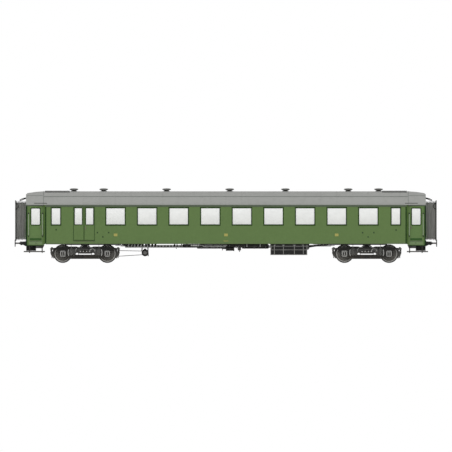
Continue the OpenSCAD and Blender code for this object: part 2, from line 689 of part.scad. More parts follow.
translate([-pivot_x - half_base, 0, 0]) wheelset();  // rear_outer_wheelset
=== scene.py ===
import bpy, bmesh, math, random
from math import radians, cos, sin, pi, hypot, sqrt
from mathutils import Vector, Matrix


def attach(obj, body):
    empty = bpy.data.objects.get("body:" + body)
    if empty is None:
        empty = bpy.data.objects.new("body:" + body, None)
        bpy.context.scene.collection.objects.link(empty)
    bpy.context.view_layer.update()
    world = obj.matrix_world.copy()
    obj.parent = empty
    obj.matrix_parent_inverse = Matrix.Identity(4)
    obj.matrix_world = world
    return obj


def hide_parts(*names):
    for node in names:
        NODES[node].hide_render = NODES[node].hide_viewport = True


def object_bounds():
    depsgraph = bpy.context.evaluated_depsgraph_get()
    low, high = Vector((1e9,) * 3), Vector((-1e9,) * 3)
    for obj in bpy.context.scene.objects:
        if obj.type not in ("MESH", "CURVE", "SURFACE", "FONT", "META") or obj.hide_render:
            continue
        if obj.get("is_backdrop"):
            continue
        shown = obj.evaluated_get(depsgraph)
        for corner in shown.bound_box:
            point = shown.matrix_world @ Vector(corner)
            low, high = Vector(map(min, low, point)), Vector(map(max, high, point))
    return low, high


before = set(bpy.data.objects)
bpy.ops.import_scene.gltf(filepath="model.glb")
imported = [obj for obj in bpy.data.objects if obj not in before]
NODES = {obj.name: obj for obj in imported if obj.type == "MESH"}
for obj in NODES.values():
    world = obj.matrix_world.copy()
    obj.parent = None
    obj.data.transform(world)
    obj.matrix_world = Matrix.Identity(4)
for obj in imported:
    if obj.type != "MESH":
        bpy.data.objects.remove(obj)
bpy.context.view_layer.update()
random.seed(7)
scene = bpy.context.scene

# ------------------------------------------------------------------ main sizes, metres
END_X, MAIN_X, HALF_W, REC_W = 11.2, 10.12, 1.45, 1.30
EAVES, RISE = 3.25, 0.765
WIN_X0, WIN_P, WIN_W, SMALL_W, SMALL_X = -6.19, 1.7725, 1.057, 0.5, 9.53
WIN_Z0, WIN_Z1, WIN_F = 2.148, 3.077, 0.045
SALOON = [WIN_X0 + i * WIN_P for i in range(9)]
DOOR_X, DOOR_H = 10.673, 0.353
LUG_X, LUG_H = -7.958, 0.592
PIVOT, HALF_B, AXLE_Z = 7.9, 1.25, 0.52
CORNERS = [("front_left", 1, 1), ("front_right", 1, -1), ("rear_left", -1, 1), ("rear_right", -1, -1)]
LUGGAGE = [("left", "front", 1, 1), ("left", "rear", 1, -1), ("right", "front", -1, 1), ("right", "rear", -1, -1)]
BOGIES = [("front", 1), ("rear", -1)]
WHEELSETS = [("front_outer_wheelset", PIVOT + HALF_B), ("front_inner_wheelset", PIVOT - HALF_B),
             ("rear_inner_wheelset", -PIVOT + HALF_B), ("rear_outer_wheelset", -PIVOT - HALF_B)]

# ------------------------------------------------------------------ mesh helpers

class Kit:
    """Collects closed shapes into one mesh."""
    def __init__(self):
        self.v, self.f, self.mi, self.sm = [], [], [], []
        self.M = Matrix.Identity(4)

    def add(self, vs, fs, m=0, smooth=True):
        o = len(self.v)
        self.v += [tuple(self.M @ Vector(p)) for p in vs]
        for f in fs:
            self.f.append(tuple(i + o for i in f))
            self.mi.append(m)
            self.sm.append(smooth)

    def box(self, lo, hi, m=0):
        x0, y0, z0 = (min(a, b) for a, b in zip(lo, hi))
        x1, y1, z1 = (max(a, b) for a, b in zip(lo, hi))
        self.add([(x0, y0, z0), (x1, y0, z0), (x1, y1, z0), (x0, y1, z0), (x0, y0, z1), (x1, y0, z1), (x1, y1, z1), (x0, y1, z1)],
                 [(0, 3, 2, 1), (4, 5, 6, 7), (0, 1, 5, 4), (1, 2, 6, 5), (2, 3, 7, 6), (3, 0, 4, 7)], m)

    def prism(self, pts, axis, a, b, m=0):
        n = len(pts)
        def P(p, t):
            return {"x": (t, p[0], p[1]), "y": (p[0], t, p[1]), "z": (p[0], p[1], t)}[axis]
        vs = [P(p, a) for p in pts] + [P(p, b) for p in pts]
        fs = [tuple(range(n - 1, -1, -1)), tuple(range(n, 2 * n))]
        fs += [(i, (i + 1) % n, n + (i + 1) % n, n + i) for i in range(n)]
        self.add(vs, fs, m)

    def frame_of(self, d):
        d = Vector(d).normalized()
        u = d.orthogonal().normalized()
        return u, d.cross(u)

    def cyl(self, a, b, r, m=0, n=20, r2=None):
        a, b = Vector(a), Vector(b)
        r2 = r if r2 is None else r2
        d = b - a
        if abs(d.normalized().z) > 0.999:
            u, w = Vector((1, 0, 0)), Vector((0, 1, 0))
        elif abs(d.normalized().y) > 0.999:
            u, w = Vector((1, 0, 0)), Vector((0, 0, 1))
        elif abs(d.normalized().x) > 0.999:
            u, w = Vector((0, 1, 0)), Vector((0, 0, 1))
        else:
            u, w = self.frame_of(d)
        vs = [a + (u * cos(2 * pi * i / n) + w * sin(2 * pi * i / n)) * r for i in range(n)]
        vs += [b + (u * cos(2 * pi * i / n) + w * sin(2 * pi * i / n)) * r2 for i in range(n)]
        fs = [tuple(range(n - 1, -1, -1)), tuple(range(n, 2 * n))]
        fs += [(i, (i + 1) % n, n + (i + 1) % n, n + i) for i in range(n)]
        self.add(vs, fs, m)

    def rev(self, prof, origin, axis, m=0, n=32):
        """prof: list of (radius, distance along axis); closed if both ends are at radius 0, else ring."""
        o, d = Vector(origin), Vector(axis).normalized()
        if abs(d.z) > 0.999:
            u, w = Vector((1, 0, 0)), Vector((0, 1, 0))
        elif abs(d.y) > 0.999:
            u, w = Vector((1, 0, 0)), Vector((0, 0, 1))
        else:
            u, w = Vector((0, 1, 0)), Vector((0, 0, 1))
        closed = prof[0][0] > 1e-9 and prof[-1][0] > 1e-9
        vs, rows = [], []
        for r, h in prof:
            if r < 1e-9:
                rows.append([len(vs)])
                vs.append(o + d * h)
            else:
                rows.append(list(range(len(vs), len(vs) + n)))
                vs += [o + d * h + (u * cos(2 * pi * i / n) + w * sin(2 * pi * i / n)) * r for i in range(n)]
        fs = []
        pairs = list(zip(rows, rows[1:]))
        if closed:
            pairs.append((rows[-1], rows[0]))
        for a, b in pairs:
            for i in range(n):
                j = (i + 1) % n
                if len(a) == 1 and len(b) == 1:
                    continue
                if len(a) == 1:
                    fs.append((a[0], b[j], b[i]))
                elif len(b) == 1:
                    fs.append((a[i], a[j], b[0]))
                else:
                    fs.append((a[i], a[j], b[j], b[i]))
        self.add(vs, fs, m)

    def tube(self, pts, r, m=0, n=8, closed=False, flat=None):
        """A round tube along pts, or a flat bar where flat=(half width, half thickness, up)."""
        P = [Vector(p) for p in pts]
        k = len(P)
        tang = []
        for i in range(k):
            a = P[(i - 1) % k] if (closed or i > 0) else P[i]
            b = P[(i + 1) % k] if (closed or i < k - 1) else P[i]
            tang.append((b - a).normalized())
        u = tang[0].orthogonal().normalized()
        if abs(tang[0].x) < 0.9:
            u = (Vector((1, 0, 0)) - tang[0] * tang[0].x).normalized()
        vs = []
        for i in range(k):
            u = (u - tang[i] * u.dot(tang[i])).normalized()
            w = tang[i].cross(u)
            if flat:
                up = Vector(flat[2])
                uu = (up - tang[i] * up.dot(tang[i])).normalized()
                ww = tang[i].cross(uu)
                for s, t in ((1, 1), (-1, 1), (-1, -1), (1, -1)):
                    vs.append(P[i] + ww * flat[0] * s + uu * flat[1] * t)
            else:
                for j in range(n):
                    vs.append(P[i] + (u * cos(2 * pi * j / n) + w * sin(2 * pi * j / n)) * r)
        if flat:
            n = 4
        fs = []
        for i in range(k if closed else k - 1):
            a, b = i * n, ((i + 1) % k) * n
            fs += [(a + j, a + (j + 1) % n, b + (j + 1) % n, b + j) for j in range(n)]
        if not closed:
            fs += [tuple(range(n - 1, -1, -1)), tuple(range((k - 1) * n, k * n))]
        self.add(vs, fs, m)

    def bolt(self, p, d, r=0.012, h=0.01, m=0, n=6):
        """A hexagon head with a low chamfer."""
        self.rev([(0, -0.002), (r, -0.002), (r, h * 0.7), (r * 0.82, h), (0, h)], p, d, m, n)

    def rivet(self, p, d, r=0.012, h=0.007, m=0, n=8):
        self.rev([(0, -0.002), (r, -0.002), (r * 0.85, h * 0.6), (r * 0.45, h), (0, h * 1.08)], p, d, m, n)

    def torus(self, c, axis, R, r, m=0, n=32, k=8):
        prof = [(R + r * cos(2 * pi * i / k), r * sin(2 * pi * i / k)) for i in range(k)]
        self.rev(prof, c, axis, m, n)

    def wring(self, x0, x1, z0, z1, w, ya, yb, m=0, r=0.0, n=5):
        """A window ring in the plane of the wall: opening x0..x1, z0..z1, bar width w outwards, from ya to yb."""
        def loop(e, rr):
            a, b, c, d = x0 - e, x1 + e, z0 - e, z1 + e
            pts = []
            for cx, cz, s in ((b - rr, c + rr, -90), (b - rr, d - rr, 0), (a + rr, d - rr, 90), (a + rr, c + rr, 180)):
                for i in range(n + 1):
                    t = radians(s + 90 * i / n)
                    pts.append((cx + rr * cos(t), cz + rr * sin(t)))
            return pts
        inner, outer = loop(0, max(r, 1e-4)), loop(w, max(r + w, 1e-4) if r > 0 else 1e-4)
        k = len(inner)
        vs = [(p[0], y, p[1]) for y in (ya, yb) for L in (inner, outer) for p in L]
        fs = []
        for i in range(k):
            j = (i + 1) % k
            fs.append((i, j, k + j, k + i))
            fs.append((2 * k + i, 3 * k + i, 3 * k + j, 2 * k + j))
            fs.append((i, 2 * k + i, 2 * k + j, j))
            fs.append((k + i, k + j, 3 * k + j, 3 * k + i))
        self.add(vs, fs, m)


def piece(name, kit, mats, body, bevel=0.0, seg=1, angle=38, replaces=()):
    me = bpy.data.meshes.new(name)
    me.from_pydata(kit.v, [], kit.f)
    for mt in mats:
        me.materials.append(mt)
    me.polygons.foreach_set("material_index", kit.mi)
    me.polygons.foreach_set("use_smooth", kit.sm)
    bm = bmesh.new()
    bm.from_mesh(me)
    bmesh.ops.recalc_face_normals(bm, faces=bm.faces)
    bm.to_mesh(me)
    bm.free()
    me.set_sharp_from_angle(angle=radians(angle))
    me.update()
    ob = bpy.data.objects.new(name, me)
    scene.collection.objects.link(ob)
    if bevel:
        b = ob.modifiers.new("edges", "BEVEL")
        b.width, b.segments, b.limit_method, b.angle_limit = bevel, seg, "ANGLE", radians(angle)
        b.use_clamp_overlap, b.harden_normals = True, True
    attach(ob, body)
    if replaces:
        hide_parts(*replaces)
    return ob

# ------------------------------------------------------------------ materials

def lin(c):
    out = []
    for v in c[:3]:
        v = v / 255
        out.append(v / 12.92 if v <= 0.04045 else ((v + 0.055) / 1.055) ** 2.4)
    return (out[0], out[1], out[2], 1.0)

def lit(c):
    """Base colour that shows as c on an upright face under the studio light."""
    return tuple(max(0.004, (v - 0.024) / 0.97) for v in lin(c)[:3]) + (1.0,)

def scaled(c, k):
    return tuple(max(0, min(255, v * k)) for v in c)


class Mat:
    def __init__(self, name):
        self.m = bpy.data.materials.new(name)
        self.m.use_nodes = True
        self.t = self.m.node_tree
        self.t.nodes.clear()
        self.out = self.n("ShaderNodeOutputMaterial")
        self.bsdf = self.n("ShaderNodeBsdfPrincipled")
        self.link(self.bsdf.outputs[0], self.out.inputs[0])
        self.co = self.n("ShaderNodeTexCoord").outputs["Object"]
        self.xyz = None

    def n(self, kind, ins=None, **props):
        node = self.t.nodes.new(kind)
        for k, v in props.items():
            setattr(node, k, v)
        for k, v in (ins or {}).items():
            s = node.inputs[k]
            if hasattr(v, "is_linked") or isinstance(v, bpy.types.NodeSocket):
                self.link(v, s)
            else:
                s.default_value = v
        return node

    def link(self, a, b):
        self.t.links.new(a, b)

    def axis(self, i):
        if self.xyz is None:
            self.xyz = self.n("ShaderNodeSeparateXYZ", {0: self.co})
        return self.xyz.outputs[i]

    def stretch(self, sx, sy, sz, off=(0, 0, 0)):
        mp = self.n("ShaderNodeMapping", {"Vector": self.co})
        mp.inputs["Scale"].default_value = (sx, sy, sz)
        mp.inputs["Location"].default_value = off
        return mp.outputs[0]

    def noise(self, scale, detail=4.0, rough=0.55, vec=None, dist=0.0):
        return self.n("ShaderNodeTexNoise", {"Vector": vec or self.co, "Scale": scale, "Detail": detail, "Roughness": rough, "Distortion": dist}).outputs["Fac"]

    def ramp(self, v, a, b, lo=0.0, hi=1.0):
        return self.n("ShaderNodeMapRange", {"Value": v, "From Min": a, "From Max": b, "To Min": lo, "To Max": hi}).outputs[0]

    def math(self, op, a, b=0.0, c=None):
        node = self.n("ShaderNodeMath", operation=op)
        for i, v in enumerate((a, b, c)):
            if v is None:
                continue
            if isinstance(v, bpy.types.NodeSocket):
                self.link(v, node.inputs[i])
            else:
                node.inputs[i].default_value = v
        return node.outputs[0]

    def mix(self, f, a, b):
        node = self.n("ShaderNodeMix", data_type="RGBA")
        for i, v in ((0, f), (6, a), (7, b)):
            if isinstance(v, bpy.types.NodeSocket):
                self.link(v, node.inputs[i])
            else:
                node.inputs[i].default_value = v
        return node.outputs[2]

    def edge(self, radius=0.006, lo=0.985, hi=0.93):
        """1 on edges, 0 on flats."""
        bev = self.n("ShaderNodeBevel", {"Radius": radius}, samples=4)
        geo = self.n("ShaderNodeNewGeometry")
        dot = self.n("ShaderNodeVectorMath", {0: bev.outputs[0], 1: geo.outputs["True Normal"]}, operation="DOT_PRODUCT").outputs["Value"]
        return self.ramp(dot, lo, hi)

    def bump(self, h, strength=0.3, dist=0.01, prev=None, bevel=None):
        b = self.n("ShaderNodeBump", {"Height": h, "Strength": strength, "Distance": dist})
        if prev is not None:
            self.link(prev, b.inputs["Normal"])
        elif bevel:
            self.link(self.n("ShaderNodeBevel", {"Radius": bevel}, samples=4).outputs[0], b.inputs["Normal"])
        return b.outputs[0]

    def set(self, **k):
        names = {"color": "Base Color", "rough": "Roughness", "metal": "Metallic", "normal": "Normal", "coat": "Coat Weight",
                 "coat_rough": "Coat Roughness", "spec": "Specular IOR Level", "alpha": "Alpha", "sheen": "Sheen Weight",
                 "trans": "Transmission Weight", "ior": "IOR"}
        for key, v in k.items():
            s = self.bsdf.inputs[names[key]]
            if isinstance(v, bpy.types.NodeSocket):
                self.link(v, s)
            else:
                s.default_value = v
        return self.m


def paint(name, rgb, rough=0.42, var=0.05, streak=0.12, streak_rgb=None, dust=0.0, dust_rgb=(120, 112, 98), dust_z=(0.9, 1.8),
          wear=0.0, wear_rgb=(130, 130, 128), radius=0.005, coat=0.0, metal=0.0, grime=0.0, grime_rgb=(30, 28, 26), fine=0.25, wave=0.0, spec=0.3):
    """Weathered paint: cloudy shade, vertical streaks, dust low down, worn edges, fine orange peel."""
    M = Mat(name)
    big = M.noise(0.55, 5, 0.6)
    mid = M.noise(6.0, 6, 0.65)
    small = M.noise(60.0, 3, 0.6)
    c = M.mix(big, lit(scaled(rgb, 1 - var)), lit(scaled(rgb, 1 + var)))
    c = M.mix(M.ramp(mid, 0.35, 0.7, 0.0, 0.5), c, lit(scaled(rgb, 1 - var * 1.3)))
    if streak:
        st = M.noise(1.0, 6, 0.7, vec=M.stretch(11, 11, 0.55))
        st = M.ramp(st, 0.5, 0.74, 0.0, streak)
        c = M.mix(st, c, lit(streak_rgb or scaled(rgb, 0.7)))
    if dust:
        z = M.ramp(M.axis(2), dust_z[0], dust_z[1], dust, 0.0)
        d = M.math("MULTIPLY", z, M.ramp(mid, 0.3, 0.62))
        c = M.mix(d, c, lit(dust_rgb))
    if grime:
        g = M.math("MULTIPLY", M.ramp(M.noise(2.2, 8, 0.72, dist=0.6), 0.48, 0.68), grime)
        c = M.mix(g, c, lit(grime_rgb))
    r = M.ramp(M.math("ADD", M.math("MULTIPLY", mid, 0.6), M.math("MULTIPLY", small, 0.4)), 0.3, 0.7, max(0.05, rough - 0.09), min(1, rough + 0.12))
    if wear:
        e = M.math("MULTIPLY", M.edge(radius), M.ramp(M.noise(18, 5, 0.7), 0.35, 0.6, 0.25, 1.0))
        e = M.math("MULTIPLY", e, wear)
        c = M.mix(e, c, lit(wear_rgb))
    h = M.noise(220, 2, 0.5)
    nrm = M.bump(h, fine, 0.0012, bevel=radius)
    if wave:
        nrm = M.bump(M.noise(1.7, 2, 0.4), wave, 0.02, prev=nrm)
    return M.set(color=c, rough=r, normal=nrm, coat=coat, coat_rough=0.25, metal=metal, spec=spec)


def metal(name, rgb, rough=0.35, brush=(1, 60, 60), scratch=0.25, dirt=0.35, dirt_rgb=(70, 62, 54), radius=0.003):
    M = Mat(name)
    br = M.noise(8.0, 4, 0.7, vec=M.stretch(*brush))
    mid = M.noise(9.0, 6, 0.7)
    c = M.mix(br, lin(scaled(rgb, 0.86)), lin(scaled(rgb, 1.1)))
    c = M.mix(M.ramp(mid, 0.46, 0.72, 0.0, dirt), c, lin(dirt_rgb))
    r = M.ramp(br, 0.3, 0.7, max(0.05, rough - 0.1), rough + 0.15)
    nrm = M.bump(br, scratch, 0.0015, bevel=radius)
    return M.set(color=c, rough=r, metal=0.85, normal=nrm)


def wood(name, rgb, along=0, board=0.0, board_axis=2, rough=0.35, coat=0.35):
    M = Mat(name)
    s = [38.0, 38.0, 38.0]
    s[along] = 1.6
    grain = M.noise(1.0, 8, 0.62, vec=M.stretch(*s), dist=1.2)
    big = M.noise(1.3, 4, 0.6)
    c = M.mix(M.ramp(grain, 0.3, 0.7), lin(scaled(rgb, 0.62)), lin(scaled(rgb, 1.15)))
    c = M.mix(M.ramp(big, 0.35, 0.7, 0.0, 0.35), c, lin(scaled(rgb, 0.72)))
    h = grain
    if board:
        v = M.math("FRACT", M.math("DIVIDE", M.axis(board_axis), board))
        gap = M.math("MAXIMUM", M.ramp(v, 0.0, 0.05, 1.0, 0.0), M.ramp(v, 0.95, 1.0, 0.0, 1.0))
        c = M.mix(M.math("MULTIPLY", gap, 0.75), c, lin(scaled(rgb, 0.3)))
        h = M.math("SUBTRACT", M.math("MULTIPLY", grain, 0.15), gap)
    nrm = M.bump(h, 0.45, 0.003, bevel=0.004)
    r = M.ramp(grain, 0.3, 0.7, rough + 0.1, rough - 0.05)
    return M.set(color=c, rough=r, normal=nrm, coat=coat, coat_rough=0.2)


GREEN = (97, 120, 74)
DKGREEN = (42, 55, 34)
body_green = paint("body_green", GREEN, rough=0.4, var=0.035, streak=0.16, streak_rgb=(84, 104, 66), dust=0.5, dust_rgb=(99, 108, 86),
                   dust_z=(1.02, 1.32), wear=0.15, wear_rgb=(120, 138, 100), coat=0.04, wave=0.06)
door_green = paint("door_green", (98, 123, 76), rough=0.4, var=0.035, streak=0.18, streak_rgb=(80, 100, 62), dust=0.4, dust_rgb=(96, 106, 82),
                   dust_z=(1.2, 1.5), wear=0.3, wear_rgb=(130, 146, 112), coat=0.04, wave=0.04)
vest_green = paint("vestibule_green", (92, 116, 70), rough=0.4, var=0.035, streak=0.2, streak_rgb=(78, 98, 60), dust=0.5, dust_rgb=(96, 104, 82),
                   dust_z=(0.95, 1.25), wear=0.2, wear_rgb=(120, 138, 100), coat=0.04)
sill_green = paint("sill_green", (113, 135, 96), rough=0.45, streak=0.2, dust=0.5, dust_rgb=(118, 122, 100), dust_z=(1.0, 1.2), wear=0.3)
# dark green of the door kick bands, where it also stands as painted shade for the step well, and of the small side
# brackets
kick_green = paint("kick_green", (57, 88, 30), rough=0.5, streak=0.2, dust=0.35, dust_z=(1.2, 1.4), dust_rgb=(70, 84, 52), wear=0.5, wear_rgb=(120, 124, 110))
trim_green = paint("trim_green", (56, 74, 44), rough=0.5, var=0.06, streak=0.1, wear=0.2, wear_rgb=(80, 92, 70), coat=0.0, spec=0.14)
# dark green of the corner strips, where it is painted shade, and of the grab rails' fittings
edge_green = paint("edge_green", (48, 66, 33), rough=0.55, var=0.05, streak=0.1, wear=0.15, wear_rgb=(84, 96, 74), spec=0.1)
# dark green for the luggage door surrounds and cover strips: trim colour and painted shade of the seams round the doors
seam_green = paint("seam_green", (62, 84, 46), rough=0.45, streak=0.1, wear=0.15, wear_rgb=(96, 112, 80))
cornice_green = paint("cornice_green", (87, 97, 81), rough=0.42, var=0.04, streak=0.12, wear=0.2, wear_rgb=(110, 122, 100))
roof_grey = paint("roof_grey", (157, 158, 155), rough=0.62, var=0.03, streak=0.12, streak_rgb=(132, 134, 130), grime=0.14, grime_rgb=(112, 112, 106),
                  wear=0.1, wear_rgb=(180, 180, 176), wave=0.05)
roof_seam = paint("roof_seam", (123, 127, 123), rough=0.6, var=0.04, streak=0.1, wear=0.2, wear_rgb=(160, 160, 156))
ceiling = paint("ceiling_cream", (222, 216, 196), rough=0.5, var=0.02, streak=0.03, wear=0.0, radius=0.003)
lining = wood("wall_lining", (168, 120, 72), along=2, board=0.11, board_axis=0)
cast_dark = paint("vent_dark", (92, 92, 90), rough=0.55, var=0.1, streak=0.1, grime=0.3, wear=0.5, wear_rgb=(150, 150, 146))
vent_cap = paint("vent_cap", (128, 128, 126), rough=0.55, var=0.08, streak=0.1, grime=0.3, wear=0.5, wear_rgb=(165, 165, 160))
black = paint("frame_black", (36, 36, 36), rough=0.55, var=0.12, streak=0.15, streak_rgb=(66, 60, 52), dust=0.28, dust_rgb=(98, 90, 78), dust_z=(0.2, 1.1),
              wear=0.7, wear_rgb=(112, 112, 110), radius=0.008, grime=0.25)
# painted highlight: pale grey for the truss flanges and for the reservoir and pipes under the right sole bar, so that
# they read lit inside the body's shade
pale_painted_highlight = paint("pale_painted_highlight", (196, 196, 194), rough=0.5, var=0.08, streak=0.1, wear=0.3, wear_rgb=(215, 215, 212), grime=0.15)
box_black = paint("box_black", (22, 22, 22), rough=0.5, var=0.08, streak=0.1, wear=0.3, wear_rgb=(80, 80, 78))
black_grey = paint("frame_grey", (84, 84, 83), rough=0.55, var=0.1, streak=0.12, dust=0.3, dust_rgb=(112, 104, 92), dust_z=(0.2, 1.1),
                   wear=0.6, wear_rgb=(140, 140, 137), radius=0.006, grime=0.25)
# painted highlight: light grey on underframe, bogie and wheel parts so that they read lit where they sit in shade; it
# also carries dust and edge wear
light_line = paint("painted_highlight_grey", (136, 136, 134), rough=0.5, var=0.1, streak=0.1, dust=0.3, dust_rgb=(128, 120, 108), dust_z=(0.2, 1.1), wear=0.4, wear_rgb=(165, 165, 160), grime=0.2)
bogie_black = paint("bogie_black", (40, 40, 40), rough=0.55, var=0.12, streak=0.12, streak_rgb=(64, 58, 50), dust=0.3, dust_rgb=(92, 85, 74), dust_z=(0.2, 1.0),
                    wear=0.75, wear_rgb=(116, 116, 114), radius=0.010, grime=0.3)
spring_steel = paint("spring_steel", (58, 57, 56), rough=0.45, var=0.12, streak=0.1, dust=0.35, dust_rgb=(90, 80, 68), dust_z=(0.2, 1.0), wear=0.8, wear_rgb=(125, 124, 120))
box_grey = paint("axle_box_grey", (90, 90, 89), rough=0.55, var=0.1, streak=0.12, dust=0.35, dust_rgb=(104, 96, 84), dust_z=(0.3, 0.8), wear=0.7, wear_rgb=(140, 140, 136), grime=0.35)
# painted highlight: near-white rims of the axle boxes and the bogie housings and guards, with dust
box_line = paint("axle_box_rim", (212, 212, 209), rough=0.5, var=0.1, streak=0.1, dust=0.3, dust_rgb=(140, 132, 120), dust_z=(0.3, 0.7), wear=0.4, wear_rgb=(185, 185, 180), grime=0.25)
wheel_dark = paint("wheel_web", (116, 114, 110), rough=0.6, var=0.12, streak=0.0, dust=0.35, dust_rgb=(86, 74, 62), dust_z=(0.05, 1.0), wear=0.4, wear_rgb=(104, 98, 92), grime=0.35, grime_rgb=(24, 21, 18))
wheel_rim = paint("wheel_rim", (92, 90, 87), rough=0.5, var=0.08, streak=0.0, dust=0.15, dust_rgb=(86, 80, 72), dust_z=(0.05, 0.9), wear=0.3, wear_rgb=(108, 106, 102), grime=0.2)
wheel_shoulder = paint("wheel_shoulder", (166, 165, 161), rough=0.45, var=0.08, streak=0.0, dust=0.2, dust_rgb=(118, 108, 96), dust_z=(0.05, 0.9), wear=0.5, wear_rgb=(165, 164, 160), grime=0.15)
wheel_tread = metal("wheel_tread", (178, 178, 176), rough=0.28, brush=(60, 1, 60), dirt=0.2)
# painted highlight: near-white ring on the tyre, standing for the lit rim of the wheel
wheel_ring = paint("wheel_ring", (176, 175, 171), rough=0.45, var=0.06, streak=0.0, wear=0.4, wear_rgb=(170, 168, 164), grime=0.1)
# dark outer band of the wheel: the flange's dark steel and painted shade at the tyre edge
wheel_flange = paint("wheel_flange", (58, 56, 54), rough=0.55, var=0.1, streak=0.0, wear=0.15, wear_rgb=(96, 92, 88), grime=0.3)
steel_dark = paint("step_black", (52, 52, 51), rough=0.5, var=0.12, streak=0.1, dust=0.25, dust_z=(0.5, 1.1), wear=0.9, wear_rgb=(128, 126, 122), grime=0.2)
buffer_black = paint("buffer_black", (50, 50, 51), rough=0.45, var=0.1, streak=0.1, wear=0.7, wear_rgb=(128, 127, 124), grime=0.3)
buffer_face = metal("buffer_face", (140, 138, 134), rough=0.35, brush=(20, 20, 20), dirt=0.7, dirt_rgb=(34, 30, 26))
ram_steel = metal("ram_steel", (96, 94, 92), rough=0.32, brush=(2, 50, 50), dirt=0.85, dirt_rgb=(30, 27, 24))
gang_grey = paint("gangway_grey", (92, 93, 90), rough=0.5, var=0.08, streak=0.15, wear=0.8, wear_rgb=(150, 150, 146), grime=0.25)
edge_black = paint("edge_black", (34, 34, 34), rough=0.55, var=0.08, streak=0.1, wear=0.35, wear_rgb=(90, 90, 88))
gang_dark = paint("gangway_dark", (54, 54, 53), rough=0.5, var=0.08, streak=0.15, wear=0.7, wear_rgb=(120, 120, 116), grime=0.25)
rail_paint = paint("rail_paint", (156, 170, 146), rough=0.35, var=0.04, streak=0.08, wear=0.5, wear_rgb=(170, 172, 160), coat=0.05)
yellow = paint("yellow_plate", (164, 158, 92), rough=0.45, var=0.05, streak=0.1, wear=0.4, wear_rgb=(214, 204, 150))
brass = metal("handle_metal", (120, 116, 100), rough=0.35, dirt=0.7, dirt_rgb=(52, 50, 42))
alu = metal("window_aluminium", (205, 207, 205), rough=0.3, brush=(60, 60, 2), dirt=0.15, dirt_rgb=(150, 150, 146))
rack_metal = metal("rack_metal", (190, 190, 186), rough=0.3, dirt=0.2)
rubber = paint("rubber_black", (34, 34, 33), rough=0.7, var=0.1, streak=0.05, wear=0.2, wear_rgb=(70, 70, 68))
belt_mat = paint("belt_rubber", (28, 26, 24), rough=0.75, var=0.15, streak=0.0, wear=0.15, wear_rgb=(80, 74, 66))
bench_wood = wood("bench_wood", (176, 122, 66), along=1)
panel_wood = wood("panel_wood", (160, 112, 66), along=2, board=0.14, board_axis=1)
walk_wood = wood("walkway_boards", (44, 43, 41), along=0, rough=0.7, coat=0.0)

# floor covering
M = Mat("floor_covering")
mott = M.noise(70, 5, 0.8)
c = M.mix(M.ramp(mott, 0.4, 0.62), lin((112, 66, 48)), lin((84, 48, 36)))
c = M.mix(M.ramp(M.noise(1.4, 5, 0.6), 0.4, 0.7, 0, 0.5), c, lin((120, 92, 72)))
floor_mat = M.set(color=c, rough=M.ramp(mott, 0.3, 0.7, 0.35, 0.6), normal=M.bump(mott, 0.2, 0.001), coat=0.2)

# bellows cloth: proofed canvas with a fine weave, dark streaks, darker towards the top
M = Mat("bellows_cloth")
wv = M.n("ShaderNodeTexWave", {"Vector": M.co, "Scale": 160.0, "Distortion": 0.6}, wave_type="BANDS", bands_direction="Z").outputs["Fac"]
wh = M.n("ShaderNodeTexWave", {"Vector": M.co, "Scale": 160.0, "Distortion": 0.6}, wave_type="BANDS", bands_direction="X").outputs["Fac"]
weave = M.math("MULTIPLY", wv, wh)
c = M.mix(M.noise(3.0, 6, 0.65), lin((138, 138, 135)), lin((165, 165, 161)))
c = M.mix(M.ramp(M.noise(1.0, 6, 0.7, vec=M.stretch(8, 8, 0.6)), 0.45, 0.75, 0, 0.4), c, lin((102, 100, 96)))
c = M.mix(M.ramp(weave, 0.0, 1.0, 0.0, 0.12), c, lin((60, 60, 58)))
c = M.mix(M.ramp(M.axis(2), 3.30, 3.40, 0.0, 0.7), c, lin((84, 84, 82)))
bellows_mat = M.set(color=c, rough=0.85, sheen=0.2, normal=M.bump(weave, 0.35, 0.0012))

# glass: near-white and nearly opaque as a painted reflection, lighter towards the top as a painted highlight
def glass(name, top, bottom, z0, z1, opacity=0.8):
    M = Mat(name)
    g = M.ramp(M.axis(2), z0, z1)
    c = M.mix(g, lin(bottom), lin(top))
    c = M.mix(M.ramp(M.noise(1.2, 5, 0.6), 0.3, 0.75, 0, 0.18), c, lin(scaled(bottom, 0.96)))
    streak = M.ramp(M.noise(1.0, 6, 0.7, vec=M.stretch(14, 14, 1.2)), 0.5, 0.8, 0.0, 0.12)
    c = M.mix(streak, c, lin(scaled(bottom, 0.9)))
    r = M.ramp(M.noise(3.0, 5, 0.6), 0.3, 0.7, 0.04, 0.14)
    a = M.ramp(M.noise(2.0, 4, 0.6), 0.3, 0.7, opacity - 0.04, opacity + 0.05)
    m = M.set(color=c, rough=r, alpha=a, spec=0.5, coat=0.3)
    m.blend_method = "BLEND" if hasattr(m, "blend_method") else None
    return m
glass_mat = glass("window_glass", (250, 251, 250), (225, 226, 223), WIN_Z0, WIN_Z1, 0.9)

# ------------------------------------------------------------------ finishes of the CAD nodes

def faces(node, mats, choose=None):
    """Sets the materials of a CAD node; choose(centre, normal) gives the index for each face."""
    ob = NODES[node]
    me = ob.data
    me.materials.clear()
    for m in mats:
        me.materials.append(m)
    if choose is None:
        me.polygons.foreach_set("material_index", [0] * len(me.polygons))
    else:
        me.polygons.foreach_set("material_index", [choose(p.center, p.normal) for p in me.polygons])
    me.update()

